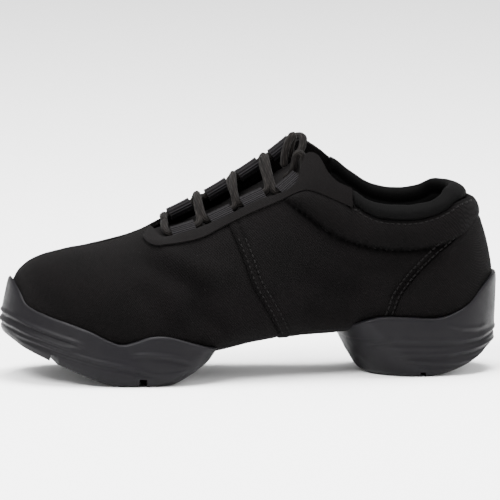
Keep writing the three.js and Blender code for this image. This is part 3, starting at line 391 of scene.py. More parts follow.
# how far the cloth stands off the last at a side-view point
def relief(x, z, side, panel):
    out = cloth["unevenness"] * wave(x, z, 34, 3 + side) + 0.12 * wave(x, z, 13, 11 + side)
    for line, width, height in creases:
        d, where = distanceTo(line, x, z)
        ends = np.clip(where / 0.15, 0, 1) * np.clip((1 - where) / 0.15, 0, 1)
        out = out + height * np.exp(-(d / width) ** 2) * ends
    if panel in ("quarter", "vamp"):
        # the double row pulls the cloth in at each stitch
        off, run = distanceTo(sideSeam, x, z)
        for row in (1.6, 5.2):
            out = out - cloth["pucker"] * (0.75 + 0.25 * np.cos(run * 165)) * np.exp(-((np.abs(off) - row) / 0.9) ** 2) * (seamWay * off > 0)
    if panel == "quarter":
        above, run = distanceTo(paddingLine, x, z)
        seam = np.interp(-x, -seamLine[side][:, 0], seamLine[side][:, 1])
        blend = np.clip((x + shoe["collarFront"] * shoe["length"]) / 8 + 1, 0, 1)
        below = seam * blend + facingLow(x, side) * (1 - blend) - z
        height = np.clip(above / np.maximum(above + below, 1e-3), 0, 1)
        lower = np.where(above > 0, np.sin(np.pi * np.clip(height, 0, 1)) ** 0.6, 0)
        along = np.clip((x - paddingLine[0, 0] + 6) / 14, 0, 1) * np.clip((126 - shiftX - x) / 16, 0, 1)
        out = out + cloth["puff"] * lower * along
        # behind, the band goes on round the heel as an even roll over the counter
        foot = counterTop * shoe["collar"]
        round1 = np.sin(np.pi * np.clip((z - foot) / np.maximum(seam - foot, 1), 0, 1)) ** 0.7
        out = out + cloth["heelPuff"] * round1 * (1 - np.clip((126 - shiftX - x) / 16, 0, 1)) * (z > foot)
        dip = 0.7 + 0.3 * np.sin(run * 250)
        out = out - cloth["seamDip"] * dip * np.exp(-(above / 1.9) ** 2) * along
        out = out - 1.0 * np.exp(-(below / 1.8) ** 2) * (x > -shoe["collarFront"] * shoe["length"] - 4)
    return out


# painted shade: how much darker the cloth's colour is painted where it is drawn in by a seam or lies in a trough, from
# 0 to 1
def shadow(x, z, side, panel):
    out = 0 * x
    for line, width, height in creases:
        d, where = distanceTo(line, x, z)
        ends = np.clip(where / 0.2, 0, 1) * np.clip((1 - where) / 0.2, 0, 1)
        out = out + max(0.0, -height) * cloth["foldShade"] * np.exp(-(d / (width * 0.8)) ** 2) * ends
    if panel in ("quarter", "vamp"):
        off, run = distanceTo(sideSeam, x, z)
        for row in (1.6, 5.2):
            out = out + (0.4 + 0.25 * np.cos(run * 165)) * np.exp(-((off - row) / 0.8) ** 2)
        out = out + 0.5 * np.exp(-(off / 0.6) ** 2)
    if panel == "quarter":
        above, run = distanceTo(paddingLine, x, z)
        along = np.clip((x - paddingLine[0, 0] + 6) / 14, 0, 1) * np.clip((130 - shiftX - x) / 10, 0, 1)
        groove = 0.75 + 0.25 * np.sin(run * 250)
        out = out + (groove * np.exp(-((above + 0.3) / 1.5) ** 2) + 0.35 * np.exp(-((above + 1.5) / 3.5) ** 2)) * along
        seam = np.interp(-x, -seamLine[side][:, 0], seamLine[side][:, 1])
        out = out + 0.7 * np.exp(-((seam - z) / 1.4) ** 2) * (x > -shoe["collarFront"] * shoe["length"] - 4)
    return np.clip(out, 0, 1)


def linearColour(code):
    parts = [int(code[k:k + 2], 16) / 255 for k in (1, 3, 5)]
    return [c / 12.92 if c <= 0.04045 else ((c + 0.055) / 1.055) ** 2.4 for c in parts] + [1.0]


# points in millimetres along the last become a mesh in the CAD frame
def toMesh(name, points, faces, uvs=None, paintedShade=None):
    mesh = bpy.data.meshes.new(name)
    placed = (np.asarray(points).reshape(-1, 3) + np.array(shoe["shift"])) / 1000
    mesh.from_pydata(placed.tolist(), [], [tuple(int(k) for k in f) for f in faces])
    piece = bpy.data.objects.new(name, mesh)
    bpy.context.scene.collection.objects.link(piece)
    if uvs is not None:
        layer = mesh.uv_layers.new(name="weave")
        corners = np.zeros(len(mesh.loops), int)
        mesh.loops.foreach_get("vertex_index", corners)
        layer.data.foreach_set("uv", (np.asarray(uvs).reshape(-1, 2)[corners] / 1000).ravel())
    # the painted shade of seams and troughs is stored as a point attribute that the cloth materials read
    if paintedShade is not None:
        mesh.attributes.new("paintedShade", "FLOAT", "POINT").data.foreach_set("value", np.asarray(paintedShade, np.float32).ravel())
    return piece


def gridFaces(rows, columns, closed=False, flip=False, start=0):
    faces = []
    for i in range(rows - 1):
        for j in range(columns if closed else columns - 1):
            a, b = start + i * columns + j, start + i * columns + (j + 1) % columns
            face = (a, b, b + columns, a + columns)
            faces.append(face[::-1] if flip else face)
    return faces


# one sheet of cloth from patches of the last's surface: each has its side, places and turns
def clothSheet(name, parts, panel, offset):
    points, faces, uvs, paintedShade, start = [], [], [], [], 0
    for side, at, turn, edge in parts:
        base = lastPoint(at, side, turn)
        lift = offset + relief(base[..., 0], base[..., 2], side, panel) + edge
        skin = base + lastNormal(at, side, turn) * lift[..., None]
        along = np.concatenate([np.zeros((1, at.shape[1])), np.cumsum(np.linalg.norm(np.diff(skin, axis=0), axis=2), 0)])
        up = np.concatenate([np.zeros((at.shape[0], 1)), np.cumsum(np.linalg.norm(np.diff(skin, axis=1), axis=2), 1)], 1)
        points.append(skin.reshape(-1, 3))
        # painted shade where seams draw the cloth in and troughs lie
        paintedShade.append(shadow(base[..., 0], base[..., 2], side, panel).ravel())
        uvs.append(np.stack([-base[..., 0] + 0 * along, up], -1).reshape(-1, 2))
        faces += gridFaces(at.shape[0], at.shape[1], flip=side > 0, start=start)
        start += at.size
    return toMesh(name, np.concatenate(points), faces, np.concatenate(uvs), np.concatenate(paintedShade))


def onlyActive(piece):
    bpy.ops.object.select_all(action="DESELECT")
    piece.select_set(True)
    bpy.context.view_layer.objects.active = piece


def mergeDoubles(piece, distance=0.00004, outward=True):
    onlyActive(piece)
    bpy.ops.object.mode_set(mode="EDIT")
    bpy.ops.mesh.select_all(action="SELECT")
    bpy.ops.mesh.remove_doubles(threshold=distance)
    if outward:
        bpy.ops.mesh.normals_make_consistent(inside=False)
    bpy.ops.object.mode_set(mode="OBJECT")


def applyModifier(piece, kind, **settings):
    onlyActive(piece)
    modifier = piece.modifiers.new(kind.title(), kind)
    for key, value in settings.items():
        setattr(modifier, key, value)
    bpy.ops.object.modifier_apply(modifier=modifier.name)


def smoothShade(piece, angle=40):
    onlyActive(piece)
    bpy.ops.object.shade_smooth_by_angle(angle=math.radians(angle))


def finishPiece(piece, material, node, extra=None):
    piece.data.materials.clear()
    piece.data.materials.append(material)
    if extra:
        piece.data.materials.append(extra)
    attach(piece, rootBody)
    if node:
        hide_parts(*([node] if isinstance(node, str) else node))
    return piece


# one node with its settings, its inputs given as values or as sockets to link
def addNode(tree, kind, inputs=None, **settings):
    node = tree.nodes.new("ShaderNode" + kind)
    for key, value in settings.items():
        setattr(node, key, value)
    for key, value in (inputs or {}).items():
        if isinstance(value, bpy.types.NodeSocket):
            tree.links.new(value, node.inputs[key])
        else:
            node.inputs[key].default_value = value
    return node


def startMaterial(name, roughness, specular=0.35, sheen=0.0, sheenRoughness=0.5, coat=0.0, coatRoughness=0.4):
    material = bpy.data.materials.new(name)
    material.use_nodes = True
    tree = material.node_tree
    skin = tree.nodes["Principled BSDF"]
    skin.inputs["Roughness"].default_value = roughness
    skin.inputs["Specular IOR Level"].default_value = specular
    skin.inputs["Sheen Weight"].default_value = sheen
    skin.inputs["Sheen Roughness"].default_value = sheenRoughness
    skin.inputs["Coat Weight"].default_value = coat
    skin.inputs["Coat Roughness"].default_value = coatRoughness
    return material, tree, skin


def ramp(tree, factor, stops):
    node = addNode(tree, "ValToRGB", {"Fac": factor})
    for k, (place, code) in enumerate(stops):
        element = node.color_ramp.elements[k] if k < 2 else node.color_ramp.elements.new(place)
        element.position = place
        element.color = linearColour(code)
    return node.outputs["Color"]


# cloth whose pattern follows the piece's own map, which is in metres of real cloth
def wovenCloth(name, wale, angle, stops, roughness, sheen, depth, lint=0.0, specular=0.03):
    material, tree, skin = startMaterial(name, roughness, specular, sheen, 0.55)
    place = addNode(tree, "UVMap", uv_map="weave").outputs["UV"]
    turned = addNode(tree, "Mapping", {"Vector": place, "Rotation": (0, 0, math.radians(angle))}).outputs["Vector"]
    # bands of a wave repeat every 0.314 of a unit
    wales = addNode(tree, "TexWave", {"Vector": turned, "Scale": 0.314 / wale, "Distortion": 0.6, "Detail": 1.0,
                                      "Detail Scale": 3.0}, bands_direction="X").outputs["Fac"]
    picks = addNode(tree, "TexWave", {"Vector": place, "Scale": 0.314 / (wale * 0.72), "Distortion": 0.4},
                    bands_direction="Y").outputs["Fac"]
    slow = addNode(tree, "TexNoise", {"Vector": place, "Scale": 45.0, "Detail": 3.0}).outputs["Fac"]
    fine = addNode(tree, "TexNoise", {"Vector": place, "Scale": 900.0, "Detail": 4.0, "Roughness": 0.7}).outputs["Fac"]
    threads = addNode(tree, "Math", {0: wales, 1: picks}, operation="MULTIPLY").outputs[0]
    shade = addNode(tree, "Math", {0: slow, 1: 0.3, 2: 0.1}, operation="MULTIPLY_ADD").outputs[0]
    shade = addNode(tree, "Math", {0: fine, 1: 0.3, 2: shade}, operation="MULTIPLY_ADD").outputs[0]
    shade = addNode(tree, "Math", {0: threads, 1: 0.35, 2: shade}, operation="MULTIPLY_ADD").outputs[0]
    colour = ramp(tree, shade, stops)
    if lint:
        # lint and dust caught in the nap, a few specks to the square centimetre
        dots = addNode(tree, "TexVoronoi", {"Vector": place, "Scale": 330.0, "Randomness": 1.0}).outputs["Distance"]
        pick = addNode(tree, "TexNoise", {"Vector": place, "Scale": 210.0, "Detail": 1.0}).outputs["Fac"]
        near = addNode(tree, "Math", {0: dots, 1: 0.1}, operation="LESS_THAN").outputs[0]
        some = addNode(tree, "Math", {0: pick, 1: 0.6}, operation="GREATER_THAN").outputs[0]
        both = addNode(tree, "Math", {0: near, 1: some}, operation="MULTIPLY").outputs[0]
        amount = addNode(tree, "Math", {0: both, 1: lint * 0.35}, operation="MULTIPLY").outputs[0]
        mix = addNode(tree, "Mix", {"Factor": amount}, data_type="RGBA")
        tree.links.new(colour, mix.inputs[6])
        mix.inputs[7].default_value = linearColour("#8b8884")
        colour = mix.outputs[2]
    # painted shade: seams and troughs get a darker colour and less gloss, where the cloth's own attribute says so
    paintedShade = addNode(tree, "Attribute", attribute_name="paintedShade").outputs["Fac"]
    keep = addNode(tree, "Math", {0: paintedShade, 1: -0.8, 2: 1.0}, operation="MULTIPLY_ADD").outputs[0]
    deep = addNode(tree, "Mix", {"Factor": keep}, data_type="RGBA")
    deep.inputs[6].default_value = (0.0, 0.0, 0.0, 1.0)
    tree.links.new(colour, deep.inputs[7])
    tree.links.new(deep.outputs[2], skin.inputs["Base Color"])
    gloss = addNode(tree, "Math", {0: keep, 1: specular}, operation="MULTIPLY").outputs[0]
    tree.links.new(gloss, skin.inputs["Specular IOR Level"])
    height = addNode(tree, "Math", {0: fine, 1: 0.5, 2: threads}, operation="MULTIPLY_ADD").outputs[0]
    bump = addNode(tree, "Bump", {"Height": height, "Strength": 0.55, "Distance": depth}).outputs["Normal"]
    tree.links.new(bump, skin.inputs["Normal"])
    return material


# moulded foam rubber: satin, with a fine grain from the tool and slow flow marks
def mouldedRubber(name, stops):
    material, tree, skin = startMaterial(name, 0.5, 0.09)
    place = addNode(tree, "TexCoord").outputs["Object"]
    grain = addNode(tree, "TexNoise", {"Vector": place, "Scale": 1400.0, "Detail": 3.0}).outputs["Fac"]
    flow = addNode(tree, "TexNoise", {"Vector": place, "Scale": 38.0, "Detail": 4.0}).outputs["Fac"]
    scuff = addNode(tree, "TexNoise", {"Vector": place, "Scale": 160.0, "Detail": 6.0, "Roughness": 0.7}).outputs["Fac"]
    shade = addNode(tree, "Math", {0: flow, 1: 0.6, 2: 0.0}, operation="MULTIPLY_ADD").outputs[0]
    shade = addNode(tree, "Math", {0: scuff, 1: 0.4, 2: shade}, operation="MULTIPLY_ADD").outputs[0]
    tree.links.new(ramp(tree, shade, stops), skin.inputs["Base Color"])
    rough = addNode(tree, "MapRange", {"Value": scuff, "From Min": 0.3, "From Max": 0.7, "To Min": 0.42, "To Max": 0.6})
    tree.links.new(rough.outputs["Result"], skin.inputs["Roughness"])
    bump = addNode(tree, "Bump", {"Height": grain, "Strength": 0.25, "Distance": 0.0002}).outputs["Normal"]
    tree.links.new(bump, skin.inputs["Normal"])
    return material


print("materials")
# cotton canvas, twill woven and dyed black: matt, a brownish cast and steep fine wales, drawn 1.2 mm apart to show
canvas = wovenCloth("Black twill canvas", 0.0010, 32, [(0.25, "#030303"), (0.55, "#060505"), (0.85, "#100d0e")], 0.9, 0.008, 0.0008, 0.05, 0.025)
# closer twill of the facing and counter: flatter and darker, so it reads smooth
closeTwill = wovenCloth("Close black twill", 0.0009, 30, [(0.3, "#050404"), (0.6, "#080707"), (0.85, "#100e0f")], 0.82, 0.01, 0.0002, 0.1)
# brushed cotton lining and sock: soft, no gloss, a slight nap
lining = wovenCloth("Brushed black lining", 0.0014, 0, [(0.3, "#0a090a"), (0.6, "#100f10"), (0.85, "#181718")], 0.95, 0.03, 0.0002)
# knit cover of the rolled collar: stretched smooth over foam
collarKnit = wovenCloth("Stretch knit collar cover", 0.0010, 8, [(0.3, "#030303"), (0.6, "#050505"), (0.85, "#0a090a")], 0.85, 0.0, 0.00012, 0.0, 0.028)
# grosgrain ribbon: ribs come from the mesh, the map adds its threads, with colour bands at the ribs' own pitch as
# painted shade between the ribs
ribbon = wovenCloth("Black grosgrain ribbon", 0.00125, 90, [(0.3, "#060506"), (0.55, "#100f10"), (0.8, "#201e20")], 0.7, 0.02, 0.0004)
# flat braided polyester: small chevrons, a dull sheen
braid = wovenCloth("Flat braided lace", 0.0013, 80, [(0.3, "#060505"), (0.55, "#0f0d0c"), (0.8, "#1f1c1a")], 0.75, 0.02, 0.0006)
# bonded polyester thread: slightly glossier and lighter than the cloth that it is sewn through
thread = wovenCloth("Black bonded thread", 0.0005, 50, [(0.3, "#060505"), (0.6, "#0c0b0b"), (0.85, "#121111")], 0.6, 0.02, 0.0001)
# blown rubber, moulded and left satin: charcoal, with scuffs that catch the light
soleRubber = mouldedRubber("Moulded charcoal rubber", [(0.3, "#08070a"), (0.55, "#0b0a0c"), (0.8, "#100f11")])


print("camera")
view = {"azimuth": -10.0, "elevation": 7.5, "distance": 4.529, "target": (0.0015, 0.0085, 0.0657), "lens": 600, "sensor": 36}
a, e = math.radians(view["azimuth"]), math.radians(view["elevation"])
back = Vector((math.sin(a) * math.cos(e), -math.cos(a) * math.cos(e), math.sin(e)))
lens = bpy.data.cameras.new("camera")
lens.lens, lens.sensor_width = view["lens"], view["sensor"]
lens.clip_end = 50
cameraObject = bpy.data.objects.new("camera", lens)
bpy.context.scene.collection.objects.link(cameraObject)
cameraObject.location = Vector(view["target"]) + back * view["distance"]
cameraObject.rotation_euler = (-back).to_track_quat("-Z", "Y").to_euler()
bpy.context.scene.camera = cameraObject


print("laces")
lacing = {
    "width": 4.1, "thickness": 3.4,
    "loopWidth": 13.0, "reach": 5.2, "lead": 1.6, "turn": 2.6, "swing": 2.2, "lift": 2.8, "barLift": 2.6,
    "near": [0.652, 0.572, 0.505, 0.43],
    "far": [0.645, 0.565, 0.5, 0.43],
    "rise": {-1: 8, 1: 5},
    # slack between loops: height, place across and lead; strands from the far side arch over the others
    "arch": (17.0, 0.25, 3.4), "under": (6.0, 0.55, 4.6), "slack": -5.0,
}


def throatPoint(at, side):
    y = float(throatEdge(at, side))
    top = lastPoint(at, side, np.linspace(0, 1, 400))
    order = np.argsort(side * top[:, 1])
    z = np.interp(side * y, side * top[order, 1], top[order, 2])
    return Vector((-at * shoe["length"], y, float(z)))


def loopFrame(at, side):
    root = throatPoint(at, side)
    step = lacing["loopWidth"] / 2 / shoe["length"]
    run = (throatPoint(at - step, side) - throatPoint(at + step, side)).normalized()
    rise = math.radians(lacing["rise"][side])
    reach = Vector((0, -side * math.cos(rise), math.sin(rise)))
    reach = (reach - run * reach.dot(run)).normalized()
    flat = run.cross(reach)
    centre = root + reach * lacing["reach"]
    half = lacing["loopWidth"] / 2 + lacing["lead"]
    return {"root": root, "run": run, "reach": reach, "flat": flat, "up": flat * -side,
            "front": centre - run * half, "rear": centre + run * half}


def turnPoint(loop, way):
    end = loop["rear"] if way > 0 else loop["front"]
    return end + loop["run"] * way * lacing["turn"] + loop["reach"] * lacing["swing"] + loop["up"] * lacing["lift"]


nearLoops = [loopFrame(at, -1) for at in lacing["near"]]
farLoops = [loopFrame(at, 1) for at in lacing["far"]]


def bezier(points, count):
    line = []
    for k in range(count + 1):
        u, row = k / count, list(points)
        while len(row) > 1:
            row = [row[i].lerp(row[i + 1], u) for i in range(len(row) - 1)]
        line.append(row[0])
    return line


def strandLine(order):
    other = farLoops[0] if order[0] is nearLoops[0] else nearLoops[0]
    start = (nearLoops[0]["front"] + farLoops[0]["front"]) / 2
    across = (order[0]["front"] - other["front"]).normalized()
    start = start - nearLoops[0]["run"] * 1.6 - across * 0.8 + Vector((0, 0, lacing["barLift"]))
    points = bezier([start, turnPoint(order[0], -1), order[0]["front"]], 16)
    for i, loop in enumerate(order):
        points += [loop["front"].lerp(loop["rear"], u) for u in (0.08, 0.25, 0.5, 0.75, 0.92, 1.0)]
        if i + 1 < len(order):
            after = order[i + 1]
            high, share, lead = lacing["arch"] if loop in farLoops else lacing["under"]
            peak = loop["rear"].lerp(after["front"], share) + Vector((0 if loop in farLoops else lacing["slack"], 0, high))
            points += bezier([loop["rear"], loop["rear"] + loop["run"] * lead + loop["up"] * 1.5, peak,
                              after["front"] - after["run"] * lead + after["up"] * 3, after["front"]], 24)[1:]
    return points


def catmull(points, count):
    points = [2 * points[0] - points[1]] + list(points) + [2 * points[-1] - points[-2]]
    line = []
    for k in range(1, len(points) - 2):
        p0, p1, p2, p3 = points[k - 1:k + 3]
        for step in range(count):
            u = step / count
            line.append(0.5 * (2 * p1 + (p2 - p0) * u + (2 * p0 - 5 * p1 + 4 * p2 - p3) * u ** 2 + (3 * p1 - p0 - 3 * p2 + p3) * u ** 3))
    return line + [points[-2]]


def evenLine(points, spacing):
    points = np.array([list(p) for p in points])
    run = np.concatenate([[0], np.cumsum(np.linalg.norm(np.diff(points, axis=0), axis=1))])
    s = np.linspace(0, run[-1], max(8, int(run[-1] / spacing)))
    return np.stack([np.interp(s, run, points[:, k]) for k in range(3)], -1), run[-1]


# a flat braid along a line: its broad face starts towards faceUp and is carried along without twist
def laceTube(name, points, faceUp, spacing=0.9, around=20):
    line, length = evenLine(points, spacing)
    for sweep in range(2):
        line[1:-1] = (line[:-2] + 2 * line[1:-1] + line[2:]) / 4
    run = np.gradient(line, axis=0)
    run /= np.linalg.norm(run, axis=1, keepdims=True)
    up = np.array(faceUp, float)
    rings, uvs = [], []
    for i, (point, along) in enumerate(zip(line, run)):
        up = up - along * (up @ along)
        up = up / np.linalg.norm(up)
        wide = np.cross(along, up)
        taper = min(1, 0.35 + min(i, len(line) - 1 - i) * 0.4)
        for k in range(around):
            turn = 2 * np.pi * k / around
            # three raised cords run along each face of the braid
            ridge = 1 + 0.06 * np.cos(6 * turn) + 0.03 * np.sin(i * spacing * 6.28 / 1.7 + 3 * np.cos(turn))
            c, s = np.cos(turn), np.sin(turn)
            round1 = np.sign(c) * abs(c) ** 0.8 * lacing["width"] / 2
            round2 = np.sign(s) * abs(s) ** 0.8 * lacing["thickness"] / 2
            rings.append(point + (wide * round1 + up * round2) * ridge * taper)
            uvs.append((i * spacing, k / around * 11.0))
    faces = gridFaces(len(line), around, closed=True, flip=True)
    faces.append(tuple(range(around)))
    last = (len(line) - 1) * around
    faces.append(tuple(last + k for k in reversed(range(around))))
    piece = toMesh(name, rings, faces, uvs)
    mergeDoubles(piece, 0.00001)
    smoothShade(piece, 60)
    return piece, line, length


# points given in the CAD frame, in millimetres
def inFrame(points):
    return [Vector((x, y, z)) - Vector(shoe["shift"]) for x, y, z in points]


strands = [strandLine([nearLoops[0], farLoops[1], nearLoops[2], farLoops[3]]),
           strandLine([farLoops[0], nearLoops[1], farLoops[2], nearLoops[3]])]
runs = [laceTube("lace_run_" + word, strand, (0.2, 0, 1)) for word, strand in zip(("near", "far"), strands)]
bpy.ops.object.select_all(action="DESELECT")
for piece, line, length in runs:
    piece.select_set(True)
bpy.context.view_layer.objects.active = runs[0][0]
bpy.ops.object.join()
laceRun = runs[0][0]
laceRun.name = "lace_run"
finishPiece(laceRun, braid, "lace_crossings")

endWays = {
    "near": [(27.0, -13.2, 117.5), (26.0, -12.9, 120.4), (23.9, -12.2, 120.6), (22.6, -11.2, 117.2), (22.4, -10, 112.4), (20.6, -8.6, 108.6), (17.0, -7.2, 106.6)],
    "far": [(30.2, 5.6, 127), (28.6, 1, 121.5), (23.7, -3.5, 117.6), (21.0, -6, 122), (22.7, -7.6, 130.2), (19.5, -9.6, 127), (17.5, -9.4, 120), (17.2, -7.6, 112.5)],
}
for word, loop in (("near", nearLoops[3]), ("far", farLoops[3])):
    start = [loop["rear"] + loop["run"] * 0.6, loop["rear"] + loop["run"] * 2.9]
    way = catmull(start + inFrame(endWays[word]), 10)
    piece, line, length = laceTube("lace_end_" + word + "_cord", way, loop["up"])
    finishPiece(piece, braid, "lace_end_" + word)
    print("lace end", word, round(length, 1), "mm")


# turn of the surface point at a known height
def turnOfHeight(at, side, z):
    at, z = np.broadcast_arrays(np.asarray(at, float), np.asarray(z, float))
    low, high = np.full(at.shape, -1.0), np.full(at.shape, 0.995)
    for step in range(26):
        middle = (low + high) / 2
        under = lastPoint(at, side, middle)[..., 2] < z
        low, high = np.where(under, middle, low), np.where(under, high, middle)
    return (low + high) / 2


# turn of the upper skin's point at a known distance to the side of the middle line
def turnOfBreadth(at, side, reach):
    low, high = np.zeros(at.shape), np.ones(at.shape)
    for step in range(26):
        middle = (low + high) / 2
        outside = side * lastPoint(at, side, middle)[..., 1] > reach
        low, high = np.where(outside, middle, low), np.where(outside, high, middle)
    return (low + high) / 2


# place along the last where each row meets the side seam
def seamPlace(side, share):
    low, high = np.full(share.shape, 0.34), np.full(share.shape, 0.68)
    order = np.argsort(sideSeam[:, 1])
    for step in range(24):
        middle = (low + high) / 2
        point = lastPoint(middle, side, turnAt(middle, side, share))
        behind = point[..., 0] > np.interp(point[..., 2], sideSeam[order, 1], sideSeam[order, 0])
        low, high = np.where(behind, middle, low), np.where(behind, high, middle)
    return (low + high) / 2


print("upper")
upper = {"wall": 2.0, "overlap": 5.0, "lap": 0.55, "plain": 0.25}
shares = np.linspace(0, 1, rowCount)
rearPlaces = stations[stations <= 0.5] / 0.5
rearPlaces[-1] = 1
frontPlaces = (stations[stations >= 0.5] - 0.5) / 0.5
frontPlaces[0] = 0
quarters, vampParts = {}, []
for side, word in ((-1, "lateral"), (1, "medial")):
    seam = seamPlace(side, shares)
    at = rearPlaces[:, None] * seam[None, :]
    turn = turnAt(at, side, np.broadcast_to(shares, at.shape))
    gap = (seam[None, :] - at) * shoe["length"]
    edge = upper["plain"] + upper["lap"] * np.exp(-(gap / 9) ** 2) - 0.35 * np.exp(-(gap / 0.7) ** 2)
    quarters[side] = clothSheet("quarter_" + word, [(side, at, turn, edge)], "quarter", 0)
    start = seam - upper["overlap"] / shoe["length"]
    at = start[None, :] + frontPlaces[:, None] * (1 - start[None, :])
    turn = turnAt(at, side, np.broadcast_to(shares, at.shape))
    gap = (at - seam[None, :]) * shoe["length"]
    edge = -0.75 * np.exp(-(np.minimum(gap, 0) / 1.5) ** 2) * (gap < 0) - 0.35 * np.exp(-((gap - 1.2) / 1.8) ** 2)
    vampParts.append((side, at, turn, edge))
vamp = clothSheet("vamp_canvas", vampParts, "vamp", 0)
for piece in (vamp, quarters[-1], quarters[1]):
    mergeDoubles(piece, 0.00006, outward=False)
    applyModifier(piece, "SOLIDIFY", thickness=upper["wall"] / 1000, offset=-1, material_offset=1, material_offset_rim=0)
    smoothShade(piece, 50)
    finishPiece(piece, canvas, "upper", lining)


print("facing")
def facingPart(side):
    front, root = facing["tip"], 0.66
    places = np.concatenate([np.linspace(0.3102, root, 110), root + (front - root) * np.sin(np.linspace(0.04, 1, 34) * np.pi / 2)])
    rows = 26
    # the front is round in plan, about a centre a little outside the ridge
    back = np.clip((front - places) * shoe["length"], 0, None)
    nearReach = facing["nearHalf"] * (1 - (1 - np.minimum(back / facing["nearDepth"], 1)) ** 2) ** (1 / 2.2) - facing["tipCentre"]
    farReach = facing["farHalf"] * (1 - (1 - np.minimum(back / facing["farDepth"], 1)) ** 2) + facing["tipCentre"]
    at = np.repeat(places[:, None], rows, 1)
    low = turnOfHeight(places, side, np.maximum(facingLow(-places * shoe["length"], side), 0))
    high = np.array([topTurn(p, side) for p in places])
    inFront = places > 0.62
    low = np.where(inFront, np.maximum(low, turnOfBreadth(places, side, nearReach if side < 0 else farReach)), low)
    if side < 0:
        high = np.where(inFront, np.minimum(high, turnOfBreadth(places, side, -farReach)), high)
    share = np.linspace(0, 1, rows)[None, :]
    low = np.minimum(low, high - 1e-4)
    turn = low[:, None] + (high - low)[:, None] * share
    gap = (turn - low[:, None]) * 60
    edge = facing["over"] + 0.2 * np.exp(-((gap - 3) / 2.0) ** 2)
    return side, at, turn, edge


band = clothSheet("facing_band", [facingPart(-1), facingPart(1)], "band", facing["thickness"])
mergeDoubles(band, 0.00006, outward=False)
applyModifier(band, "SOLIDIFY", thickness=facing["thickness"] / 1000, offset=-1)
applyModifier(band, "BEVEL", width=0.0003, segments=2, limit_method="ANGLE", angle_limit=math.radians(50))
smoothShade(band, 50)
finishPiece(band, closeTwill, "facing")


print("heel counter")
counter = {"thickness": 0.9, "top": counterTop, "low": 21.0, "over": 0.35}
counterLine = polyline(fromFrame([(125, 90), (117.9, 84.4), (108.5, 75.6), (97.2, 66.1), (86, 55.2), (77.2, 44.2), (73.2, 35.2), (71.2, 28), (70, 18)]), 200)


def counterPart(side):
    z = np.linspace(counter["low"], counter["top"] * shoe["collar"], 76)
    order = np.argsort(counterLine[:, 1])
    xEdge = np.interp(z, counterLine[order, 1], counterLine[order, 0])
    share = np.sin(np.linspace(0, 1, 56) * np.pi / 2)[:, None] ** 1.35
    edgePlace = -xEdge / shoe["length"]
    for sweep in range(3):
        lean = -edgePlace * shoe["length"] - lastPoint(edgePlace, side, turnOfHeight(edgePlace, side, z))[..., 0]
        edgePlace = np.clip(-(xEdge + lean) / shoe["length"], 0.001, 1)
    at = share * edgePlace[None, :]
    turn = turnOfHeight(at, side, np.broadcast_to(z[None, :], at.shape))
    gap = (edgePlace[None, :] - at) * shoe["length"]
    topGap = (z[-1] - z)[None, :]
    edge = counter["over"] - 0.35 * np.exp(-(gap / 0.6) ** 2) + 0.25 * np.exp(-((gap - 3.6) / 1.6) ** 2) - 0.3 * np.exp(-(topGap / 0.6) ** 2)
    return side, at, turn, edge


cover = clothSheet("heel_counter_cover", [counterPart(-1), counterPart(1)], "counter", counter["thickness"])
mergeDoubles(cover, 0.00006, outward=False)
applyModifier(cover, "SOLIDIFY", thickness=counter["thickness"] / 1000, offset=-1)
smoothShade(cover, 50)
finishPiece(cover, canvas, "heel_counter")


print("rolled collar")
# section of the roll and the padded lining: height over the seam and depth inside the last's surface, in mm
collar = {
    "section": [(-0.6, 1.6), (0.2, 0.2), (1.4, -1.2), (3.2, -1.75), (5.2, -1.2), (7.0, 0.7), (8.0, 3.0), (7.4, 5.2), (5.2, 6.8),
                (2.6, 7.1), (0.6, 6.5), (-0.6, 6.2), (-2.2, 6.9), (-6.5, 7.3), (-12, 6.4), (-17, 4.6), (-20, 3.2), (-20, 2.4), (-12, 2.3), (-5, 2.2)],
    "around": 72, "along": 92, "wrinkle": 0.28, "front": 0.318,
}


def closedSpline(points, count):
    points = np.array(points, float)
    total = len(points)
    samples = np.arange(count) * total / count
    k = samples.astype(int)
    u = (samples - k)[:, None]
    p0, p1, p2, p3 = (points[(k + s) % total] for s in (-1, 0, 1, 2))
    return 0.5 * (2 * p1 + (p2 - p0) * u + (2 * p0 - 5 * p1 + 4 * p2 - p3) * u ** 2 + (3 * p1 - p0 - 3 * p2 + p3) * u ** 3)


def collarRing(at, side, section):
    fade = max(0.0, 1 - at / shoe["collarFront"])
    seamX = -at * shoe["length"] - shoe["heelLean"] * fade * fade
    seam = float(collarSeam(np.array(seamX), side))
    heights = seam + section[:, 0]
    low, high = np.zeros(len(section)), np.full(len(section), 0.985)
    for step in range(30):
        middle = (low + high) / 2
        under = lastPoint(at, side, middle)[..., 2] < heights
        low, high = np.where(under, middle, low), np.where(under, high, middle)
    point = lastPoint(at, side, low)
    normal = lastNormal(at, side, low)
    if at < 1e-6:
        normal[:, 1] = 0
    level = np.hypot(normal[:, 0], normal[:, 1])
    aside = normal * np.array([1, 1, 0]) / np.maximum(level, 0.35)[:, None] ** 2
    # behind the heel the roll lies further in and lower, so that the padded band bulges past it
    behind = math.exp(-(at * shoe["length"] / 22) ** 2)
    point[:, 2] = heights - 1.0 * behind
    # at its front the roll narrows and goes in under the facing
    tuck = np.clip((at - 0.288) / (collar["front"] - 0.288), 0, 1) ** 2
    across = section[:, 1] + (np.maximum(section[:, 1], 2.6) - section[:, 1]) * tuck
    return point - aside * (across + 2.6 * behind)[:, None]


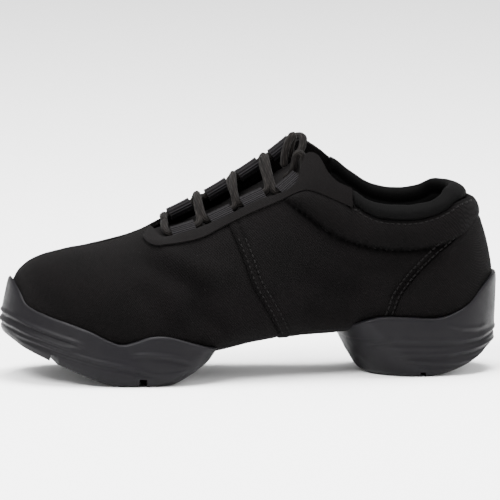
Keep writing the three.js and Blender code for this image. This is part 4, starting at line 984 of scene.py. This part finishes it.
collarCurve = closedSpline(collar["section"], collar["around"])
rings, uvs = [], []
last = collar["front"]
spread = [last * (1 - math.sin(k / collar["along"] * math.pi / 2)) for k in range(collar["along"])]
order = [(at, -1) for at in spread] + [(0.0, -1)] + [(at, 1) for at in reversed(spread)]
travel, before = 0.0, None
aroundRun = np.concatenate([[0], np.cumsum(np.linalg.norm(np.diff(collarCurve, axis=0), axis=1))])
for at, side in order:
    ring = collarRing(at, side, collarCurve)
    if before is not None:
        travel += float(np.linalg.norm(ring[12] - before[12]))
    before = ring
    # short wrinkles run across the roll, deeper on its inside
    ripple = wave(np.full(len(ring), travel), aroundRun * 0.35, 7, 21) + 0.6 * wave(np.full(len(ring), travel), aroundRun, 26, 8)
    centre = ring[[3, 8]].mean(0)
    outward = ring - centre
    outward /= np.linalg.norm(outward, axis=1, keepdims=True) + 1e-9
    rings.append(ring + outward * (ripple * collar["wrinkle"])[:, None])
    uvs.append(np.stack([np.full(len(ring), travel), aroundRun], -1))
count = len(collarCurve)
faces = gridFaces(len(rings), count, closed=True, flip=False)
faces.append(tuple(reversed(range(count))))
faces.append(tuple((len(rings) - 1) * count + k for k in range(count)))
rolledCollar = toMesh("rolled_collar", np.concatenate(rings), faces, np.concatenate(uvs))
mergeDoubles(rolledCollar, 0.00002)
smoothShade(rolledCollar, 60)
finishPiece(rolledCollar, collarKnit, "padded_collar")


print("tongue and sock")
tongue = {"front": 0.72, "rear": 0.4, "thickness": 3.2, "dip": 4.5, "drop": 7.0, "gap": 2.5, "columns": 70, "rows": 40}


# a point of the last's upper skin over a place in plan
def crownPoint(at, y):
    turns = np.linspace(0, 1, 300)
    both = np.concatenate([lastPoint(np.full(300, at), -1, turns), lastPoint(np.full(300, at), 1, turns[::-1])])
    order = np.argsort(both[:, 1])
    return np.interp(y, both[order, 1], both[order, 2])


def tonguePoints():
    length, half = shoe["length"], shoe["throat"] * 0.8
    xFront, xRear = -tongue["front"] * length, -tongue["rear"] * length
    xTip, xWide = xRear + 0.1 * half, xRear - 0.7 * half
    s = np.sin(np.linspace(0, 1, tongue["columns"]) * np.pi / 2) ** 1.1
    xs = xFront + (xTip - xFront) * s
    v = np.sin(np.linspace(-1, 1, tongue["rows"]) * np.pi / 2)
    top, under, uv = [], [], []
    for x in xs:
        low = np.interp(x, [xFront, xFront * 0.75 + xRear * 0.25, xWide], [-0.6 * half, -0.9 * half, -half])
        high = np.interp(x, [xFront, xFront * 0.75 + xRear * 0.25, xWide], [0.75 * half, 0.95 * half, half])
        end = max(0.0, (x - xWide) / (xTip - xWide))
        narrow = max(0.0, 1 - end ** 2.6) ** (1 / 2.6)
        y = (low + high) / 2 + (high - low) / 2 * v * narrow
        at = -x / length
        z = crownPoint(at, y)
        zBack, zSide = crownPoint(at - 0.004, y), crownPoint(at, y + 0.3)
        normal = np.stack([-(zBack - z) / (0.004 * length), -(zSide - z) / 0.3, np.ones(len(y))], -1)
        normal /= np.linalg.norm(normal, axis=1, keepdims=True)
        t = np.clip((tongue["front"] - at) / (tongue["front"] - tongue["rear"]), 0, 1.2)
        u = np.clip(t / 0.25, 0, 1)
        sink = tongue["dip"] * u * u * (3 - 2 * u) + tongue["drop"] * t * t
        skin = np.stack([np.full(len(y), x), y, z - sink], -1) - normal * (tongue["gap"] + tongue["thickness"] / 2)
        # the pad is full in the middle and closes round its edges
        full = np.sqrt(np.maximum(0, 1 - np.abs(v) ** 7)) * math.sqrt(max(0.0, 1 - end ** 7))
        puff = tongue["thickness"] / 2 * full * (1 + 0.12 * wave(np.full(len(y), x), y, 16, 5))
        top.append(skin + normal * puff[:, None])
        under.append(skin - normal * puff[:, None])
        uv.append(np.stack([np.full(len(y), x), y], -1))
    return top, under, uv


top, under, uv = tonguePoints()
rows, columns = len(top), tongue["rows"]
faces = gridFaces(rows, columns, flip=False) + gridFaces(rows, columns, flip=True, start=rows * columns)
frontCap = [(k, k + 1, rows * columns + k + 1, rows * columns + k) for k in range(columns - 1)]
tonguePad = toMesh("tongue_pad", np.concatenate(top + under), faces + frontCap, np.concatenate(uv + uv))
mergeDoubles(tonguePad, 0.00005)
smoothShade(tonguePad, 60)
finishPiece(tonguePad, closeTwill, "tongue")

sock = {"front": 0.965, "rear": 0.022, "thickness": 3.0, "over": 5.5, "gap": 2.6, "columns": 90, "rows": 24}
places = np.linspace(sock["rear"], sock["front"], sock["columns"])
skin = []
for at in places:
    z = float(smoothTable(lastTable, "seat", np.array(at)) * shoe["seat"]) + sock["over"]
    walls = []
    for side in (-1, 1):
        turn = turnOfHeight(np.array([at]), side, np.array([z]))
        walls.append(float(lastPoint(np.array([at]), side, turn)[0, 1] - side * sock["gap"]))
    v = np.linspace(0, 1, sock["rows"])
    y = walls[0] + (walls[1] - walls[0]) * v
    lift = 0.9 * np.abs(2 * v - 1) ** 6
    skin.append(np.stack([np.full(len(v), -at * shoe["length"]), y, z + lift], -1))
skin = np.array(skin)
insoleSock = toMesh("insole_sock", skin, gridFaces(*skin.shape[:2], flip=False), skin[..., :2])
applyModifier(insoleSock, "SOLIDIFY", thickness=sock["thickness"] / 1000, offset=-1)
applyModifier(insoleSock, "BEVEL", width=0.0006, segments=2, limit_method="ANGLE", angle_limit=math.radians(50))
smoothShade(insoleSock, 50)
finishPiece(insoleSock, lining, "insole")


print("soles")
sole = {
    "steps": 96, "levelsLow": 26, "levelsHigh": 34, "freeHigh": 11.0, "freeLow": 34.0, "slant": 13.0, "seatGap": 0.3, "notch": 3.6,
    "forefoot": {"table": forefootTable, "ridges": forefootRidges, "from": 0.584, "to": 1.0,
                 "below": [(0, -4), (0.05, -2.4), (0.14, -1.3), (0.4, -0.3), (0.9, 0), (1, -0.2)],
                 "above": [(0, -0.2), (0.08, 0), (0.38, 0.1), (0.52, 0), (0.85, -0.3), (0.95, -0.55), (1, -1.3)],
                 "notches": [(0.931, 0.034, 1.25), (0.756, 0.036, 1.25)]},
    "heel": {"table": heelTable, "ridges": heelRidges, "from": 0.0, "to": 0.319,
             "below": [(0, -4), (0.05, -2.4), (0.12, -1.5), (0.5, -0.3), (0.92, 0), (1, -0.2)],
             "above": [(0, -0.2), (0.09, 0), (0.4, 0), (0.85, -0.2), (0.95, -0.45), (1, -1.1)],
             "notches": [(0.163, 0.026, 0.75)]},
}


def planLoop(low, high, free):
    k = np.arange(sole["steps"] + 1)
    shares = low + (high - low) * (1 - np.cos(k / sole["steps"] * np.pi)) / 2
    gapLow = np.maximum(0, 1 - (shares - low) * shoe["length"] / free) if low > 0 else 0 * shares
    gapHigh = np.maximum(0, 1 - (high - shares) * shoe["length"] / free) if high < 1 else 0 * shares
    squeeze = np.maximum(0, 1 - np.maximum(gapLow, gapHigh) ** 2.1) ** (1 / 2.1)
    loop = []
    for side in (-1, 1):
        widest = lastPoint(shares, side, np.zeros(len(shares)))
        centre = smoothTable(lastTable, "centre", shares) * shoe["halfBall"]
        line = np.stack([shares, -shares * shoe["length"], centre + (widest[:, 1] - centre) * squeeze], -1)
        loop.append(line if side < 0 else line[-2:0:-1])
    loop = np.concatenate(loop)
    run = np.roll(loop[:, 1:], -1, 0) - np.roll(loop[:, 1:], 1, 0)
    run /= np.linalg.norm(run, axis=1, keepdims=True) + 1e-12
    return loop, np.stack([-run[:, 1], run[:, 0]], -1)


def ridgeRelief(ridges, at, z):
    out = 0
    for places, heights, amount in ridges:
        h = np.interp(at, places, heights)
        ends = np.clip((at - places[0]) / 0.02 + (places[0] <= 0.001), 0, 1) * np.clip((places[-1] - at) / 0.02 + (places[-1] >= 0.999), 0, 1)
        out = out + amount * ends * (np.exp(-((z - h) / 1.0) ** 2) - 0.85 * np.exp(-((z - h + 2.1) / 0.9) ** 2))
    return out


def soleUnit(name, plan, node, cutter):
    low, high = plan["from"], plan["to"]
    table = plan["table"]
    levels = [(u, True) for u in np.linspace(0, 1, sole["levelsLow"])] + [(u, False) for u in np.linspace(0, 1, sole["levelsHigh"])[1:]]
    rings = []
    for u, under in levels:
        # the end under the arch slopes back and grows rounder towards the floor
        height = 0.6 * u if under else 0.6 + 0.4 * u
        back = sole["slant"] * (1 - height) ** 1.6 / shoe["length"]
        free = sole["freeLow"] + (sole["freeHigh"] - sole["freeLow"]) * height
        loop, out = planLoop(low + back * (low > 0), high - back * (high < 1), free)
        at = loop[:, 0]
        bottom = np.maximum(0, smoothTable(table, "bottom", at)) * shoe["seat"]
        middle = smoothTable(table, "middle", at) * shoe["seat"]
        top = smoothTable(table, "top", at) * shoe["seat"]
        rim = smoothTable(table, "rim", at)
        lean = smoothTable(table, "lean", at) * shoe["rim"]
        curve = np.array(plan["below"] if under else plan["above"])
        past = np.interp(u, curve[:, 0], curve[:, 1])
        z = bottom + (middle - bottom) * u if under else middle + (top - middle) * u
        grow = rim * shoe["rim"] + past * np.minimum(1, rim) - (0 if under else lean * u)
        grow = grow + ridgeRelief(plan["ridges"], at, z) * (u > 0.1 or not under)
        rings.append(np.stack([loop[:, 1] + out[:, 0] * grow, loop[:, 2] + out[:, 1] * grow, z], -1))
    count = len(loop)
    faces = gridFaces(len(rings), count, closed=True, flip=False)
    lastRing = (len(rings) - 1) * count
    for k in range(sole["steps"]):
        a, b, c, d = k, k + 1, (count - k - 1) % count, (count - k) % count
        for quad, base in (((a, b, c, d), 0), ((d, c, b, a), lastRing)):
            corners = []
            for q in quad:
                if base + q not in corners:
                    corners.append(base + q)
            if len(corners) > 2:
                faces.append(tuple(corners))
    unit = toMesh(name, np.concatenate(rings), faces)
    mergeDoubles(unit, 0.00002)
    onlyActive(unit)
    for tool in cutter:
        modifier = unit.modifiers.new("seat", "BOOLEAN")
        modifier.operation, modifier.solver, modifier.object = "DIFFERENCE", "MANIFOLD", tool
        bpy.ops.object.modifier_apply(modifier=modifier.name)
    for place, width, depth in plan["notches"]:
        x, half = -place * shoe["length"], width * shoe["length"] / 2
        roof = float(np.maximum(0, smoothTable(table, "bottom", np.array(place)))) * shoe["seat"] + depth * sole["notch"]
        outline = [(x - half, -20), (x + half, -20), (x + half * 0.4, roof), (x - half * 0.4, roof)]
        points = [(px, y, pz) for y in (-70, 70) for px, pz in outline]
        wedge = toMesh("notch", points, [(0, 1, 2, 3), (7, 6, 5, 4), (0, 4, 5, 1), (1, 5, 6, 2), (2, 6, 7, 3), (3, 7, 4, 0)])
        mergeDoubles(wedge, 0.00001)
        onlyActive(unit)
        modifier = unit.modifiers.new("notch", "BOOLEAN")
        modifier.operation, modifier.solver, modifier.object = "DIFFERENCE", "MANIFOLD", wedge
        bpy.ops.object.modifier_apply(modifier=modifier.name)
        bpy.data.objects.remove(wedge)
    smoothShade(unit, 62)
    finishPiece(unit, soleRubber, node)
    return unit


# the last as one closed form, a little larger, to cut the soles' seats
def closedLast(name, gap, low=0.0, high=1.0):
    at = stations[:, None] + 0 * shares[None, :]
    turn = np.linspace(-1, 1, rowCount)[None, :] + 0 * at
    points, faces, start = [], [], 0
    for side in (-1, 1):
        base = lastPoint(at, side, turn)
        normal = lastNormal(at, side, turn)
        normal[0, :, 1] = normal[-1, :, 1] = 0
        normal[:, 0, 1] = normal[:, -1, 1] = 0
        points.append((base + normal * gap).reshape(-1, 3))
        faces += gridFaces(at.shape[0], rowCount, flip=side > 0, start=start)
        start += at.size
    form = toMesh(name, np.concatenate(points), faces)
    mergeDoubles(form, 0.00005, outward=False)
    return form


lastCutter = closedLast("seat_cutter", sole["seatGap"])
forefootUnit = soleUnit("forefoot_unit", sole["forefoot"], "forefoot_sole", [lastCutter])
heelUnit = soleUnit("heel_unit", sole["heel"], "heel_sole", [lastCutter])
bpy.data.objects.remove(lastCutter)


print("loops")
ribbonLoop = {"thickness": 0.9, "rib": 1.25, "ribHeight": 0.36, "round": 2.75}


# middle line of the folded ribbon seen from its end: out over the lace and back
def ribbonCurve():
    r, cx = ribbonLoop["round"], lacing["reach"]
    points = [(-2.6, -2.6), (-1.2, -1.8), (0.4, -1.3), (2.0, -1.4), (3.3, -2.0)]
    for k in range(-10, 11):
        turn = math.radians(k * 11.0)
        points.append((cx + r * math.cos(turn), r * math.sin(turn)))
    points += [(3.3, 2.0), (1.6, 1.0), (0.0, 0.0), (-1.3, -0.9), (-2.6, -1.9)]
    line, length = evenLine([(x, y, 0) for x, y in points], 0.26)
    return line[:, :2], length


def ribbonPiece(name, loop, node, seed):
    line, length = ribbonCurve()
    run = np.gradient(line, axis=0)
    run /= np.linalg.norm(run, axis=1, keepdims=True)
    normal = np.stack([run[:, 1], -run[:, 0]], -1)
    s = np.linspace(0, length, len(line))
    rib = ribbonLoop["ribHeight"] * np.abs(np.sin(np.pi * s / ribbonLoop["rib"]))
    half = ribbonLoop["thickness"] / 2
    outer = line + normal * (half + rib)[:, None]
    inner = line - normal * (half + rib * 0.6)[:, None]
    section = np.concatenate([outer, inner[::-1]])
    sectionRun = np.concatenate([s, s[::-1]])
    rng = np.random.default_rng(seed)
    steps = 12
    rings, uvs = [], []
    for k in range(steps + 1):
        along = (k / steps - 0.5) * lacing["loopWidth"]
        # the selvedges flare a little and no loop is quite straight
        flare = 1 + 0.05 * (2 * k / steps - 1) ** 4
        sway = 0.25 * math.sin(along * 0.35 + seed) + rng.uniform(-0.03, 0.03)
        for (reach, flat), u in zip(section, sectionRun):
            point = loop["root"] + loop["reach"] * ((reach - lacing["reach"]) * flare + lacing["reach"] + sway * max(0.0, reach) / 8)
            rings.append(point + loop["up"] * (flat * flare) + loop["run"] * along)
            uvs.append((along, u))
    count = len(section)
    faces = gridFaces(steps + 1, count, closed=True, flip=False)
    for ring in (0, steps):
        base = ring * count
        for k in range(len(line) - 1):
            quad = (base + k, base + k + 1, base + count - 2 - k, base + count - 1 - k)
            faces.append(quad if ring else quad[::-1])
    piece = toMesh(name, rings, faces, uvs)
    mergeDoubles(piece, 0.00001)
    smoothShade(piece, 60)
    return finishPiece(piece, ribbon, node)


for word, loops in (("lateral", nearLoops), ("medial", farLoops)):
    for k, loop in enumerate(loops):
        ribbonPiece(f"ribbon_loop_{word}_{k + 1}", loop, f"webbing_loop_{word}_{k + 1}", k + (0 if word == "lateral" else 7))


print("stitches")
stitch = {"length": 2.1, "pitch": 2.9, "width": 0.8}


# rows of short thread lengths; each row is a side and a line in side view
def stitchRows(name, rows, lift, pitch=stitch["pitch"], sink=0.0):
    points, faces, uvs = [], [], []
    for side, line, panel in rows:
        run = np.concatenate([[0], np.cumsum(np.linalg.norm(np.diff(line, axis=0), axis=1))])
        centres = np.arange(pitch / 2, run[-1], pitch)
        half = stitch["length"] / 2 * pitch / stitch["pitch"]
        ends = []
        for shift in (-half, 0, half):
            x = np.interp(centres + shift, run, line[:, 0])
            z = np.interp(centres + shift, run, line[:, 1])
            at, turn = heightAt(side, x, z)
            base = lastPoint(at, side, turn)
            out = lastNormal(at, side, turn)
            high = lift + (relief(base[..., 0], base[..., 2], side, panel) if panel != "flat" else 0.0)
            height = high + (0.16 if shift == 0 else -0.12) - sink
            ends.append((base + out * np.reshape(height, (-1, 1)), out))
        for k in range(len(centres)):
            a, middle, b = ends[0][0][k], ends[1][0][k], ends[2][0][k]
            out = ends[1][1][k]
            along = (b - a) / (np.linalg.norm(b - a) + 1e-9)
            wide = np.cross(along, out)
            start = len(points)
            for place, size in ((a, 0.35), (a * 0.6 + middle * 0.4, 0.95), (middle, 1.0), (b * 0.6 + middle * 0.4, 0.95), (b, 0.35)):
                for corner in range(6):
                    turn = corner * math.pi / 3
                    offset = wide * math.cos(turn) + out * math.sin(turn)
                    points.append(place + offset * (stitch["width"] / 2 * size))
                    uvs.append((len(points) * 0.37, corner * 0.3))
            faces += gridFaces(5, 6, closed=True, flip=False, start=start)
            faces.append(tuple(start + q for q in reversed(range(6))))
            faces.append(tuple(start + 24 + q for q in range(6)))
    piece = toMesh(name, points, faces, uvs)
    mergeDoubles(piece, 0.000001)
    smoothShade(piece, 60)
    return finishPiece(piece, thread, None)


def besideLine(line, distance):
    run = np.gradient(line, axis=0)
    run /= np.linalg.norm(run, axis=1, keepdims=True)
    return line + np.stack([-run[:, 1], run[:, 0]], -1) * distance


def cutLine(line, keep):
    return line[keep(line[:, 0], line[:, 1])]


both = (-1, 1)
aboveSole = lambda x, z: z > 27.5
seamRows = [(side, cutLine(besideLine(sideSeam, d), lambda x, z: (z > 24) & (z < (78 if side < 0 else 84))), "quarter") for side in both for d in (1.6, 5.2)]
stitchRows("side_seam_stitches", seamRows, upper["plain"] + upper["lap"] * 0.9)
stitchRows("padding_stitches", [(side, paddingLine[6:-4], "quarter") for side in both], upper["plain"] - 0.25, 3.2)
topRows = [(side, besideLine(seamLine[side][3:], 1.9) if besideLine(seamLine[side], 1.9)[40, 1] < seamLine[side][40, 1] else besideLine(seamLine[side][3:], -1.9), "quarter") for side in both]
stitchRows("collar_stitches", topRows, upper["plain"] + 0.1, 3.1)
counterRows = [(side, cutLine(besideLine(counterLine, d), aboveSole), "counter") for side in both for d in (-1.4, -4.6)]
stitchRows("counter_stitches", counterRows, counter["thickness"] + counter["over"])


print("stage")
bpy.ops.object.select_all(action="DESELECT")
bpy.ops.mesh.primitive_plane_add(size=8, location=(0, 0, 0))
floor = bpy.context.active_object
floor.name = "floor"
bpy.ops.object.mode_set(mode="EDIT")
bpy.ops.mesh.subdivide(number_cuts=4)
bpy.ops.object.mode_set(mode="OBJECT")
paper, paperTree, paperSkin = startMaterial("White paper sweep", 0.9, 0.1)
paperSkin.inputs["Base Color"].default_value = linearColour("#f4f4f4")
floor.data.materials.append(paper)

world = bpy.data.worlds.new("studio")
bpy.context.scene.world = world
world.use_nodes = True
world.node_tree.nodes["Background"].inputs["Color"].default_value = (1, 1, 1, 1)
world.node_tree.nodes["Background"].inputs["Strength"].default_value = 1.2
lamps = {
    "key": {"place": (-0.9, -1.1, 1.6), "size": 0.9, "power": 95},
    "fill": {"place": (1.3, -0.9, 0.9), "size": 1.2, "power": 20},
    "top": {"place": (0.1, 0.1, 1.9), "size": 1.2, "power": 150},
}
for word, lamp in lamps.items():
    light = bpy.data.lights.new(word, "AREA")
    light.energy, light.size = lamp["power"], lamp["size"]
    lampObject = bpy.data.objects.new(word, light)
    bpy.context.scene.collection.objects.link(lampObject)
    lampObject.location = lamp["place"]
    aim = Vector((0, 0, 0.05)) - Vector(lamp["place"])
    lampObject.rotation_euler = aim.to_track_quat("-Z", "Y").to_euler()
